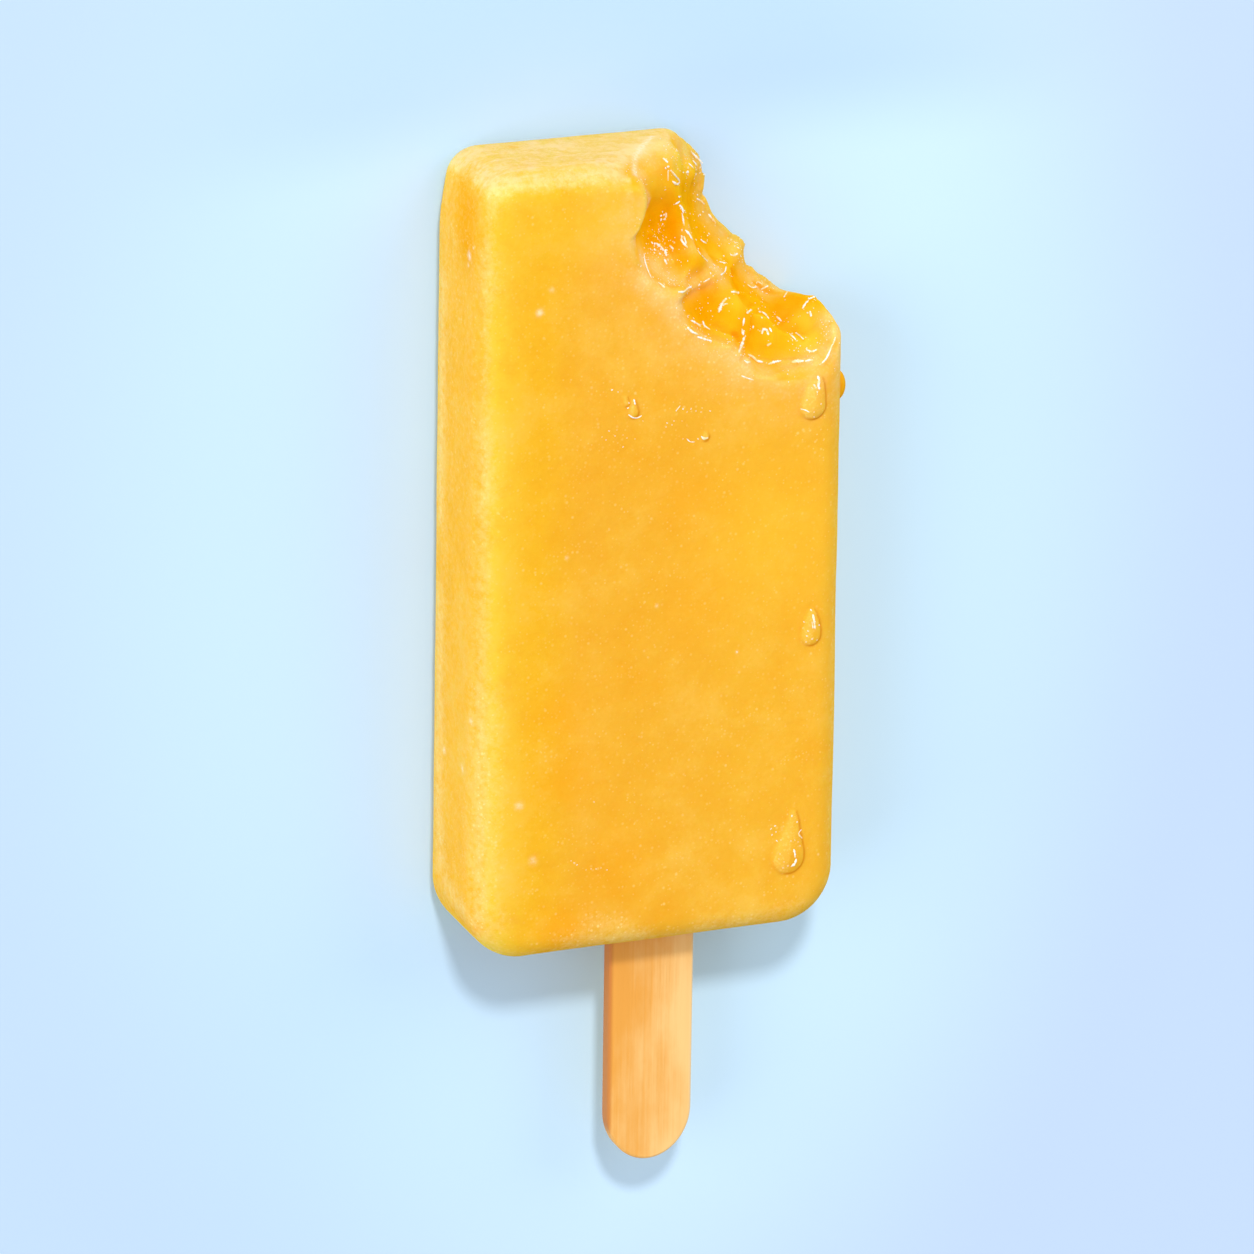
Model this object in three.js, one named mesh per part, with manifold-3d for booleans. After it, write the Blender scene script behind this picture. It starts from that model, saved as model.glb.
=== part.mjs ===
// A fruit ice lolly with one bitten corner, lying on its back, front face up.
//
// Millimetres. +X across the bar, +Y from the stick towards the top of the bar, +Z up, out of
// the front face. The origin is the middle of the flat back face, which lies on the ground.

import * as THREE from 'three';
import { mergeVertices } from 'three/addons/utils/BufferGeometryUtils.js';
import Module from 'manifold-3d';

const wasm = await Module();
wasm.setup();

// The bar: a mould's block, a little wider at the foot, with rounded edges and slanted shoulders.
const barLength = 89;
const barThickness = 15.5;
const footWidth = 43;
const topWidth = 42.1;
const shoulderLength = 7.4;
const shoulderInset = 0.7;
const edgeRadius = 3;
const footCornerRadius = 6.4;
const topCornerRadius = 3.4;
const shoulderRadius = 12;

// The bite: a round scoop out of the top right corner, wider at the front face than at the back.
const biteBack = { x: 28.4, y: 42.8, radius: 17 };
const biteFront = { x: 22, y: 45, radius: 25.2 };
const biteOverrun = 3;

// Tooth marks in the bite's wall. angle is the mark's place round the bite (180 points to -X,
// 270 to -Y) and height its place above the back face. depth is how far it goes into the wall,
// halfWidth its reach round the bite, halfLength its reach from back to front, and roundness
// the ellipsoid's half axis across the wall.
const toothMarks = [
  { angle: 179, height: 13.6, depth: 1.4, halfWidth: 4.6, halfLength: 6.0, roundness: 4.5 },
  { angle: 203, height: 13.4, depth: 2.8, halfWidth: 5.4, halfLength: 5.8, roundness: 4.6 },
  { angle: 226, height: 13.8, depth: 2.2, halfWidth: 4.6, halfLength: 5.4, roundness: 4.6 },
  { angle: 246, height: 14.2, depth: 2.2, halfWidth: 5.2, halfLength: 5.2, roundness: 4.6 },
  { angle: 173, height: 2.5, depth: 2.4, halfWidth: 6.6, halfLength: 7.0, roundness: 5.0 },
  { angle: 210, height: 4.0, depth: 2.0, halfWidth: 6.6, halfLength: 7.8, roundness: 6.0 },
  { angle: 235, height: 4.4, depth: 2.8, halfWidth: 3.8, halfLength: 7.4, roundness: 4.2 },
  { angle: 248, height: 4.6, depth: 3.1, halfWidth: 6.2, halfLength: 7.6, roundness: 6.0 },
];

// The rounded lip that the bite leaves where it runs out through the bar's right side.
const biteLip = { at: [20.9, 20.8, 7.6], half: [2.5, 4.1, 8.4] };

// Drops of melted ice, frozen on: four on the front face and one on the right side.
const meltDrops = [
  { at: [17.0, 16.6, 15.4], half: [1.5, 2.3, 0.9] },
  { at: [21.0, 16.8, 12.2], half: [1.1, 1.7, 1.2] },
  { at: [17.5, -9.6, 15.4], half: [1.1, 2.1, 0.7] },
  { at: [15.6, -34.7, 15.4], half: [1.4, 3.3, 0.6] },
  { at: [-3.9, 18.0, 15.4], half: [0.7, 1.3, 0.5] },
];

// The stick: flat wood with rounded ends, set into the foot of the bar.
const stickLength = 93;
const stickWidth = 10;
const stickThickness = 2;
const stickShown = 28.3;
const stickOffset = 2.1;
const stickEndLength = 5.8;
const stickEdgeRadius = 0.35;
const stickGap = 0.3;

// How finely round forms are divided.
const arcSegments = 5;
const edgeSegments = 6;
const biteSegments = 96;
const markColumns = 26;
const markRows = 16;
const dropColumns = 18;
const dropRows = 10;

const iceMaterial = new THREE.MeshStandardMaterial({ color: 0xfdb930, roughness: 0.45, metalness: 0 });
const stickMaterial = new THREE.MeshStandardMaterial({ color: 0xe9b777, roughness: 0.6, metalness: 0 });

function toSolid(geometry) {
  geometry.deleteAttribute('normal');
  geometry.deleteAttribute('uv');
  const merged = mergeVertices(geometry);
  return new wasm.Manifold(new wasm.Mesh({
    numProp: 3,
    vertProperties: new Float32Array(merged.attributes.position.array),
    triVerts: new Uint32Array(merged.index.array),
  }));
}

function toGeometry(solid) {
  const mesh = solid.getMesh();
  const geometry = new THREE.BufferGeometry();
  geometry.setAttribute('position', new THREE.BufferAttribute(mesh.vertProperties, mesh.numProp));
  geometry.setIndex(new THREE.BufferAttribute(mesh.triVerts, 1));
  geometry.computeVertexNormals();
  return geometry;
}

// A closed outline through corner points, each rounded with its own radius.
function roundedOutline(corners) {
  const shape = new THREE.Shape();
  corners.forEach((corner, i) => {
    const before = corners[(i + corners.length - 1) % corners.length];
    const after = corners[(i + 1) % corners.length];
    const point = new THREE.Vector2(corner.x, corner.y);
    const towardsBefore = new THREE.Vector2(before.x, before.y).sub(point).normalize();
    const towardsAfter = new THREE.Vector2(after.x, after.y).sub(point).normalize();
    const halfAngle = Math.acos(towardsBefore.dot(towardsAfter)) / 2;
    const bisector = towardsBefore.clone().add(towardsAfter).normalize();
    const centre = point.clone().addScaledVector(bisector, corner.radius / Math.sin(halfAngle));
    const tangentLength = corner.radius / Math.tan(halfAngle);
    const start = point.clone().addScaledVector(towardsBefore, tangentLength).sub(centre);
    const end = point.clone().addScaledVector(towardsAfter, tangentLength).sub(centre);
    shape.absarc(centre.x, centre.y, corner.radius, start.angle(), end.angle(), false);
  });
  shape.closePath();
  return shape;
}

function barBlank() {
  const foot = -barLength / 2;
  const top = barLength / 2;
  const shoulder = top - shoulderLength;
  const shoulderHalf = THREE.MathUtils.lerp(topWidth, footWidth, shoulderLength / barLength) / 2;
  const rightSide = [
    { x: footWidth / 2, y: foot, radius: footCornerRadius },
    { x: shoulderHalf, y: shoulder, radius: shoulderRadius },
    { x: topWidth / 2 - shoulderInset, y: top, radius: topCornerRadius },
  ];
  const leftSide = rightSide.map((corner) => ({ ...corner, x: -corner.x })).reverse();
  const geometry = new THREE.ExtrudeGeometry(roundedOutline([...rightSide, ...leftSide]), {
    depth: barThickness - 2 * edgeRadius,
    curveSegments: arcSegments,
    bevelSegments: edgeSegments,
    bevelThickness: edgeRadius,
    bevelSize: edgeRadius,
    bevelOffset: -edgeRadius,
  });
  geometry.translate(0, 0, edgeRadius);
  return toSolid(geometry);
}

// The bite's centre and radius at a height above the back face.
function biteAt(height) {
  const share = height / barThickness;
  return {
    x: THREE.MathUtils.lerp(biteBack.x, biteFront.x, share),
    y: THREE.MathUtils.lerp(biteBack.y, biteFront.y, share),
    radius: THREE.MathUtils.lerp(biteBack.radius, biteFront.radius, share),
  };
}

function biteCone() {
  const low = -biteOverrun;
  const high = barThickness + biteOverrun;
  const lowCircle = biteAt(low);
  const highCircle = biteAt(high);
  const geometry = new THREE.CylinderGeometry(
    highCircle.radius, lowCircle.radius, high - low, biteSegments);
  geometry.rotateX(Math.PI / 2);
  geometry.translate(0, 0, (low + high) / 2);
  const lean = new THREE.Matrix4().makeShear(
    0, 0,
    0, 0,
    (biteFront.x - biteBack.x) / barThickness, (biteFront.y - biteBack.y) / barThickness);
  geometry.applyMatrix4(lean);
  geometry.translate(biteBack.x, biteBack.y, 0);
  return toSolid(geometry);
}

function ellipsoid(columns, rows) {
  return new THREE.SphereGeometry(1, columns, rows);
}

// One tooth mark: an ellipsoid set square to the bite's wall, sunk to the mark's depth.
function toothMark(mark) {
  const angle = THREE.MathUtils.degToRad(mark.angle);
  const outward = new THREE.Vector3(Math.cos(angle), Math.sin(angle), 0);
  const circle = biteAt(mark.height);
  const onWall = new THREE.Vector3(circle.x, circle.y, mark.height)
    .addScaledVector(outward, circle.radius);
  const along = new THREE.Vector3(
    (biteFront.x - biteBack.x) / barThickness, (biteFront.y - biteBack.y) / barThickness, 1)
    .addScaledVector(outward, (biteFront.radius - biteBack.radius) / barThickness)
    .normalize();
  const round = new THREE.Vector3(-Math.sin(angle), Math.cos(angle), 0);
  round.addScaledVector(along, -round.dot(along)).normalize();
  const intoWall = new THREE.Vector3().crossVectors(round, along);
  const spread = Math.sqrt(1 - ((mark.roundness - mark.depth) / mark.roundness) ** 2);
  const geometry = ellipsoid(markColumns, markRows);
  geometry.scale(mark.halfWidth / spread, mark.halfLength / spread, mark.roundness);
  geometry.applyMatrix4(new THREE.Matrix4().makeBasis(round, along, intoWall));
  const centre = onWall.addScaledVector(intoWall, mark.depth - mark.roundness);
  geometry.translate(centre.x, centre.y, centre.z);
  return toSolid(geometry);
}

function blob({ at, half }) {
  const geometry = ellipsoid(dropColumns, dropRows);
  geometry.scale(...half);
  geometry.translate(...at);
  return toSolid(geometry);
}

function stickOutline(grow) {
  const half = stickWidth / 2 + grow;
  const low = -barLength / 2 - stickShown - grow;
  const high = low + stickLength + 2 * grow;
  const endLength = stickEndLength + grow;
  const shape = new THREE.Shape();
  shape.absellipse(stickOffset, high - endLength, half, endLength, 0, Math.PI, false, 0);
  shape.absellipse(stickOffset, low + endLength, half, endLength, Math.PI, 2 * Math.PI, false, 0);
  shape.closePath();
  return shape;
}

function stickSolid(grow) {
  const geometry = new THREE.ExtrudeGeometry(stickOutline(grow), {
    depth: stickThickness + 2 * (grow - stickEdgeRadius),
    curveSegments: 2 * arcSegments,
    bevelSegments: 2,
    bevelThickness: stickEdgeRadius,
    bevelSize: stickEdgeRadius,
    bevelOffset: -stickEdgeRadius,
  });
  geometry.translate(0, 0, barThickness / 2 - stickThickness / 2 - grow + stickEdgeRadius);
  return toSolid(geometry);
}

function iceBar() {
  let bite = biteCone();
  for (const mark of toothMarks) bite = bite.add(toothMark(mark));
  bite = bite.subtract(blob(biteLip));
  let bar = barBlank().subtract(bite);
  for (const drop of meltDrops) bar = bar.add(blob(drop));
  bar = bar.subtract(stickSolid(stickGap));
  return bar;
}

function namedMesh(name, solid, material) {
  const mesh = new THREE.Mesh(toGeometry(solid), material);
  mesh.name = name;
  return mesh;
}

const lolly = new THREE.Group();
lolly.add(namedMesh('ice_bar', iceBar(), iceMaterial));
lolly.add(namedMesh('stick', stickSolid(0), stickMaterial));

export default lolly;
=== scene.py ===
"""A fruit ice lolly with one bitten corner, lying on its back, front face up.

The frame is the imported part's: +X across the bar, +Y from the stick to the bar's top, +Z up out
of the front face. The shape is worked out in millimetres as a distance field, where a negative
distance is inside the ice, and written to the meshes in metres.
"""

import math

import bmesh
import bpy
import numpy as np
import openvdb
from mathutils import Matrix, Vector


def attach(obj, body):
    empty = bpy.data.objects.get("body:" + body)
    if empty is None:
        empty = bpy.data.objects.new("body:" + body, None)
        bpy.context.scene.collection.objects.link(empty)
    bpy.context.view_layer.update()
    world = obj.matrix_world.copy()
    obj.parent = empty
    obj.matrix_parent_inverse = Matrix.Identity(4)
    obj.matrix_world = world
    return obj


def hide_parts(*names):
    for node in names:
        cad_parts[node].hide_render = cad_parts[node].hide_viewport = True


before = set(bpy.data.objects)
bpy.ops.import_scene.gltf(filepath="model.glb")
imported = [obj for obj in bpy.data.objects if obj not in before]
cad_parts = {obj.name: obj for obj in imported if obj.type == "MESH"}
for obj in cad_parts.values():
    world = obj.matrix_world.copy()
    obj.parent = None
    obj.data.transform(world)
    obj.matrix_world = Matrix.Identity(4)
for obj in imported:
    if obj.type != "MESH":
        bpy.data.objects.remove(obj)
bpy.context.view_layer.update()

MM = 0.001

# The bar: a mould's block, a little wider at the foot, with rounded edges and slanted shoulders.
BAR_LENGTH = 89.0
BAR_THICKNESS = 15.5
FOOT_WIDTH = 43.0
TOP_WIDTH = 42.1
SHOULDER_LENGTH = 7.4
SHOULDER_INSET = 0.7
EDGE_RADIUS = 3.0
FOOT_CORNER_RADIUS = 6.4
SHOULDER_BLEND = 0.3

# The bite: a round scoop out of the top right corner, wider at the front face than at the back.
BITE_BACK = (28.4, 42.8, 17.0)
BITE_FRONT = (22.0, 45.0, 25.2)

# Tooth marks in the bite's wall: place round the bite in degrees, height above the back face,
# depth, reach round the bite, reach from back to front, and half axis across the wall.
TOOTH_MARKS = (
    (179, 13.6, 1.4, 4.6, 6.0, 4.5),
    (203, 13.4, 2.8, 5.4, 5.8, 4.6),
    (226, 13.8, 2.2, 4.6, 5.4, 4.6),
    (246, 14.2, 2.2, 5.2, 5.2, 4.6),
    (173, 2.5, 2.4, 6.6, 7.0, 5.0),
    (210, 4.0, 2.0, 6.6, 7.8, 6.0),
    (235, 4.4, 2.8, 3.8, 7.4, 4.2),
    (248, 4.6, 3.1, 6.2, 7.6, 6.0),
)
RIDGE_ROUNDING = 0.6
# Where the ridge over the first front tooth mark, and that mark's outer rim, are melted softer.
SOFT_RIDGE_AT = (-0.9, 40.5, 13.5)
SOFT_RIM_AT = (-1.8, 35.0, 15.5)
SOFT_REACH = 5.0
SOFT_RIDGE_MORE = 1.6
SOFT_RIM_MORE = 0.3
LIP_AT = (20.9, 20.8, 7.6)
LIP_HALF = (2.5, 4.1, 8.4)
LIP_ROUNDING = 2.2
# How far the bite's rim is melted round. The rounding grows between the first two heights, and
# once more towards the bar's top, where it is less near the back face.
BACK_RIM_ROUNDING = 0.6
FRONT_RIM_ROUNDING = 1.2
FRONT_RIM_HEIGHTS = (7.0, 13.0)
TOP_RIM_SOFTNESS = 2.6
TOP_RIM_PLACES = (41.0, 43.5)
TOP_RIM_HEIGHTS = (2.0, 9.0)
TOP_RIM_SHARE_AT_BACK = 0.6
# Slight waves of the bite's wall and of the faces: height, size and seed.
WALL_WAVES = ((0.11, 1.9, 3), (0.05, 0.7, 4))
FACE_WAVES = ((0.05, 8.0, 5), (0.02, 2.6, 6))
WALL_WAVES_REACH = (2.5, 0.5)
# How softly the raised relief is kept within the bar.
INSIDE_BLEND = 0.05

# The stick: flat wood with rounded ends, set into the foot of the bar.
STICK_LENGTH = 93.0
STICK_WIDTH = 10.0
STICK_THICKNESS = 2.0
STICK_SHOWN = 28.3
STICK_OFFSET = 2.1
STICK_END_LENGTH = 5.8
STICK_EDGE_RADIUS = 0.35
# Its points: along each rounded end, along the straight part, across each face, and round the
# edge from a face to the side.
STICK_END_STEPS = 22
STICK_STEPS = 90
STICK_COLUMNS = 12
STICK_EDGE_STEPS = 5
# The nick pressed into its right edge: its place, length and depth, and where it fades out as a
# share of the stick's half width.
NICK_PLACE = -45.0
NICK_LENGTH = 0.7
NICK_DEPTH = 0.25
NICK_WIDTH = (0.7, 1.0)

# The camera, from the lines of the bar: it looks down on the front from the left and the top.
CAMERA_TURN = 21.88
CAMERA_RISE = 18.72
CAMERA_ROLL = 0.85
CAMERA_DISTANCE = 823.4
BAR_CENTRE_PIXEL = (637.2, 539.7)
PHOTO_SIZE = 1254
FOCAL_PIXELS = 7600.0
SENSOR = 36.0
# A sight line starts this far above the front face, and goes on by a share of the distance left.
SIGHT_START = 1.5
SIGHT_STRIDE = 0.8
SIGHT_STEPS = 90


def linear(rgb):
    """sRGB values from 0 to 255 as scene-linear red, green and blue, with alpha."""
    share = np.asarray(rgb, dtype=float) / 255
    low = share / 12.92
    high = ((share + 0.055) / 1.055) ** 2.4
    return (*np.where(share <= 0.04045, low, high), 1.0)


# --- distance field -------------------------------------------------------------------------

NOISE_VALUES = 4096
NOISE_PRIMES = np.array((73856093, 19349663, 83492791))
# Steps back to a field's surface are worked out as if its slope, squared, were never less.
LEAST_SLOPE = 0.2


def smooth_max(a, b, k):
    h = np.clip(0.5 + 0.5 * (a - b) / k, 0, 1)
    return b + (a - b) * h + k * h * (1 - h)


def smooth_min(a, b, k):
    return -smooth_max(-a, -b, k)


def unit(v):
    return v / np.linalg.norm(v)


def unit_rows(v):
    return v / np.linalg.norm(v, axis=1)[:, None]


def between(at, places, rows):
    """Each column of rows, given at places, interpolated at other places."""
    return np.stack([np.interp(at, places, column) for column in rows.T], axis=1)


def smooth_step(low, high, value):
    t = np.clip((value - low) / (high - low), 0, 1)
    return t * t * (3 - 2 * t)


def noise(points, size, seed):
    """Smooth random values from -1 to 1 that change over a distance of size."""
    table = np.random.default_rng(seed).uniform(-1, 1, NOISE_VALUES)
    q = points / size
    cell = np.floor(q).astype(np.int64)
    f = q - cell
    f = f * f * (3 - 2 * f)
    total = np.zeros(len(points))
    for corner in range(8):
        step = np.array([corner & 1, corner >> 1 & 1, corner >> 2 & 1])
        x, y, z = ((cell + step) * NOISE_PRIMES).T
        share = np.prod(np.where(step, f, 1 - f), axis=1)
        total += share * table[(x ^ y ^ z) & (NOISE_VALUES - 1)]
    return total


def waves(p, rows):
    return sum(height * noise(p, size, seed) for height, size, seed in rows)


def shared(a, b):
    """Distance to what lies inside two surfaces, round at the corner that they make."""
    return np.minimum(np.maximum(a, b), 0) + np.hypot(np.maximum(a, 0), np.maximum(b, 0))


def block(p):
    """Distance to the whole bar, before the bite."""
    x, y, z = np.abs(p[:, 0]), p[:, 1], p[:, 2]
    r = EDGE_RADIUS
    half = BAR_LENGTH / 2
    foot_half, top_half = FOOT_WIDTH / 2, TOP_WIDTH / 2
    across = unit(np.array([BAR_LENGTH, foot_half - top_half]))
    side = (x - foot_half + r) * across[0] + (y + half) * across[1]
    shoulder_half = top_half + (foot_half - top_half) * SHOULDER_LENGTH / BAR_LENGTH - r
    start = np.array([shoulder_half, half - SHOULDER_LENGTH])
    end = np.array([top_half - SHOULDER_INSET - r, half - r])
    slant = unit(end - start)
    shoulder = (x - start[0]) * slant[1] - (y - start[1]) * slant[0]
    flank = smooth_max(side, shoulder, SHOULDER_BLEND)
    top, foot = y - half + r, -(y + half - r)
    corner = FOOT_CORNER_RADIUS - r
    low = shared(np.maximum(flank, top) + corner, foot + corner) - corner
    outline = np.where(y > 0, shared(flank, top), low)
    face = np.abs(z - BAR_THICKNESS / 2) - (BAR_THICKNESS / 2 - r)
    return shared(outline, face) - r


def bite_circle(z):
    """The bite's centre and radius at a height above the back face."""
    t = z / BAR_THICKNESS
    return [BITE_BACK[i] * (1 - t) + BITE_FRONT[i] * t for i in range(3)]


def scoop(p):
    """Distance to the leaning cone that the bite takes out."""
    cx, cy, radius = bite_circle(p[:, 2])
    widening = (BITE_FRONT[2] - BITE_BACK[2]) / BAR_THICKNESS
    return (np.hypot(p[:, 0] - cx, p[:, 1] - cy) - radius) / math.sqrt(1 + widening**2)


def ellipsoid(p, centre, axes):
    """Distance to an ellipsoid. axes has one row for each axis, divided by its half length."""
    q = (p - centre) @ axes.T
    size = np.linalg.norm(q, axis=1)
    grow = np.linalg.norm(q @ axes, axis=1) / np.maximum(size, 1e-6)
    return (size - 1) / np.maximum(grow, 1e-6)


def tooth_ellipsoid(angle, height, depth, half_width, half_length, roundness):
    """One tooth mark as an ellipsoid's centre and axes, set square to the bite's wall."""
    cx, cy, radius = bite_circle(height)
    turn = math.radians(angle)
    outward = np.array([math.cos(turn), math.sin(turn), 0.0])
    back, front = np.array(BITE_BACK), np.array(BITE_FRONT)
    drift = (front - back) / BAR_THICKNESS
    along = unit(np.array([drift[0], drift[1], 1.0]) + outward * drift[2])
    around = np.array([-math.sin(turn), math.cos(turn), 0.0])
    around = unit(around - along * (around @ along))
    into = np.cross(around, along)
    spread = math.sqrt(1 - ((roundness - depth) / roundness) ** 2)
    centre = np.array([cx, cy, height]) + outward * radius - into * (roundness - depth)
    halves = (half_width / spread, half_length / spread, roundness)
    return centre, np.stack([way / half for way, half in zip((around, along, into), halves)])


TOOTH_ELLIPSOIDS = [tooth_ellipsoid(*mark) for mark in TOOTH_MARKS]
LIP_AXES = np.diag([1 / half for half in LIP_HALF])


def bite(p):
    """Distance to what the teeth took away, before the corner lip is put back."""
    d = scoop(p)
    soft = np.exp(-((p - SOFT_RIDGE_AT) ** 2).sum(1) / SOFT_REACH**2)
    for centre, axes in TOOTH_ELLIPSOIDS:
        d = smooth_min(d, ellipsoid(p, centre, axes), RIDGE_ROUNDING + SOFT_RIDGE_MORE * soft)
    lip = ellipsoid(p, np.array(LIP_AT), LIP_AXES)
    return smooth_max(d, -lip, LIP_ROUNDING)


def rim_rounding(p):
    """How far the bite's rim is melted round: most at the top of the bar, least at the back."""
    front = smooth_step(*FRONT_RIM_HEIGHTS, p[:, 2])
    rim = BACK_RIM_ROUNDING + (FRONT_RIM_ROUNDING - BACK_RIM_ROUNDING) * front
    soft = np.exp(-((p - SOFT_RIM_AT) ** 2).sum(1) / SOFT_REACH**2)
    least = TOP_RIM_SHARE_AT_BACK
    share = least + (1 - least) * smooth_step(*TOP_RIM_HEIGHTS, p[:, 2])
    top = smooth_step(*TOP_RIM_PLACES, p[:, 1]) * share
    return rim + SOFT_RIM_MORE * soft + TOP_RIM_SOFTNESS * top


def plain_ice(p):
    """The bar with its bite, before the fine wet relief."""
    return smooth_max(block(p), -bite(p), rim_rounding(p))


def slope(field, p, step=0.01):
    """A field's values at points, and its gradient there."""
    value = field(p)
    g = np.empty_like(p)
    for axis in range(3):
        offset = np.zeros(3)
        offset[axis] = step
        g[:, axis] = (field(p + offset) - value) / step
    return value, g


def outward(field, p):
    """Unit directions out of a field's surface."""
    g = slope(field, p)[1]
    return g / np.maximum(np.linalg.norm(g, axis=1), 1e-9)[:, None]


def way_back(value, g, longest=0.25):
    """The short step from each point to the surface of a field."""
    move = g * (-value / np.maximum((g * g).sum(1), LEAST_SLOPE))[:, None]
    size = np.linalg.norm(move, axis=1)[:, None]
    return move * np.minimum(1, longest / np.maximum(size, 1e-9))


def project(field, p, rounds):
    """Moves points onto the surface of a field."""
    for _ in range(rounds):
        p = p + way_back(*slope(field, p))
    return p


# --- the photo's camera, for placing small marks where they are seen -------------------------


def camera_axes():
    """Right, up and towards the camera, with the photo's roll."""
    turn, rise, roll = (math.radians(v) for v in (CAMERA_TURN, CAMERA_RISE, CAMERA_ROLL))
    ca, sa, se, ce = math.cos(turn), math.sin(turn), math.sin(rise), math.cos(rise)
    right = np.array([ca, 0, sa])
    up = np.array([sa * se, ce, -ca * se])
    toward = np.array([-sa * ce, se, ca * ce])
    cr, sr = math.cos(roll), math.sin(roll)
    return right * cr + up * sr, up * cr - right * sr, toward


RIGHT, UP, TOWARD = camera_axes()
CAMERA_PLACE = TOWARD * CAMERA_DISTANCE + np.array([0, 0, BAR_THICKNESS / 2])


def sight_lines(pixels):
    """Unit directions from the camera through pixels of the photo."""
    pixels = np.asarray(pixels, dtype=float)
    across = (pixels[:, 0] - BAR_CENTRE_PIXEL[0]) / FOCAL_PIXELS
    upward = (BAR_CENTRE_PIXEL[1] - pixels[:, 1]) / FOCAL_PIXELS
    return unit_rows(across[:, None] * RIGHT + upward[:, None] * UP - TOWARD)


def at_height(pixels, z):
    """Where the sight lines through pixels cross a level plane."""
    lines = sight_lines(pixels)
    return CAMERA_PLACE + lines * ((z - CAMERA_PLACE[2]) / lines[:, 2])[:, None]


def seen_points(field, pixels):
    """Where the sight lines through pixels meet the surface of a field."""
    p = at_height(pixels, BAR_THICKNESS + SIGHT_START)
    lines = sight_lines(pixels)
    for _ in range(SIGHT_STEPS):
        p = p + lines * (SIGHT_STRIDE * np.maximum(field(p), 0))[:, None]
    return p


def along_path(corners, step):
    """Evenly spaced pixels on a smooth line through corners, given as x, y, x, y."""
    corners = np.array(corners, dtype=float).reshape(-1, 2)
    if len(corners) == 1:
        return corners
    length = np.concatenate([[0], np.cumsum(np.linalg.norm(np.diff(corners, axis=0), axis=1))])
    count = max(2, int(length[-1] / step) + 1)
    line = between(np.linspace(0, length[-1], count), length, corners)
    for _ in range(2):
        line[1:-1] = (line[:-2] + 2 * line[1:-1] + line[2:]) / 4
    return line


# Wet ridges in the bite: radius, lift off the wall, blending, and the line by photo pixels.
RIDGES = (
    (0.75, -0.40, 0.9, (667, 161, 671, 175, 674, 190, 676, 203, 678, 221, 683, 240)),
    (0.90, -0.45, 1.0, (682, 232, 686, 246, 697, 258, 708, 266, 716, 274)),
    (1.40, -0.70, 0.8, (637, 188, 640, 196, 640, 206, 636, 216, 631, 224)),
    (0.30, -0.05, 0.5, (683, 208, 684, 222, 690, 236, 700, 250, 709, 261)),
    (0.25, -0.05, 0.4, (650, 232, 658, 243, 667, 252, 672, 262)),
    (0.25, -0.05, 0.3, (664, 287, 671, 291, 678, 293, 691, 286)),
    (0.50, -0.15, 0.8, (679, 293, 691, 286, 703, 281, 713, 275, 722, 268)),
    (0.30, -0.05, 0.5, (732, 292, 740, 294, 750, 299, 758, 303)),
    (0.38, -0.05, 0.5, (738, 354, 741, 345, 744, 335, 745, 321, 748, 312, 756, 308)),
    (0.30, -0.08, 0.4, (749, 355, 760, 362, 775, 363, 793, 362, 807, 360, 815, 358)),
    (0.25, -0.05, 0.4, (815, 364, 823, 362, 829, 352, 834, 337, 833, 324)),
    (0.30, -0.10, 0.5, (751, 270, 757, 282, 770, 290, 785, 294, 800, 299, 812, 298)),
    (0.35, -0.25, 0.5, (724, 375, 740, 379, 755, 382, 768, 380, 785, 373, 800, 368)),
    (0.30, -0.10, 0.5, (692, 322, 700, 327, 710, 331, 722, 335, 733, 339)),
    (0.30, -0.12, 0.5, (688, 329, 698, 336, 711, 342, 728, 348)),
    (0.35, -0.10, 0.5, (690, 150, 697, 157, 703, 164, 702, 176, 701, 188)),
    (0.25, -0.05, 0.4, (704, 200, 710, 214, 717, 224, 728, 234)),
)
# Rounded lumps in the bite: photo pixel, radius, how far its middle is under the wall, blending.
LUMPS = (
    (792, 322, 3.4, 2.7, 2.0), (722, 268, 1.3, 0.8, 0.8), (728, 314, 2.4, 1.9, 1.2),
    (784, 308, 2.4, 1.9, 1.5), (767, 338, 1.2, 0.9, 0.6), (736, 250, 1.1, 0.8, 0.6),
    (690, 170, 1.4, 1.0, 0.8), (660, 262, 1.2, 0.9, 0.6), (747, 361, 0.5, 0.2, 0.3),
)
# Soft spots of painted shade, deep orange in the bite's pockets: photo pixel, reach and strength.
DEEP_SHADE_SPOTS = (
    (647, 212, 1.1, 0.7), (644, 222, 1.0, 0.8), (644, 233, 0.9, 0.7), (651, 224, 1.5, 1.0),
    (652, 235, 1.0, 0.9), (660, 219, 1.3, 0.8), (648, 240, 0.9, 0.8), (662, 234, 1.3, 1.0),
    (668, 228, 1.4, 1.0), (657, 237, 1.2, 1.0), (668, 241, 1.3, 0.9), (668, 249, 0.9, 0.7),
    (681, 262, 0.8, 0.4), (683, 188, 1.3, 0.8), (682, 176, 0.8, 0.5), (689, 200, 1.6, 0.6),
    (692, 186, 1.3, 0.6), (690, 222, 1.0, 0.5), (700, 234, 1.6, 0.4), (700, 312, 1.9, 0.9),
    (706, 300, 1.4, 0.7), (692, 304, 1.2, 0.5), (735, 285, 1.4, 0.8), (734, 274, 1.0, 0.6),
    (778, 315, 1.2, 0.6), (787, 326, 1.0, 0.6), (796, 333, 1.0, 0.6), (748, 328, 0.9, 0.6),
    (748, 345, 1.0, 0.5),
)
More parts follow.
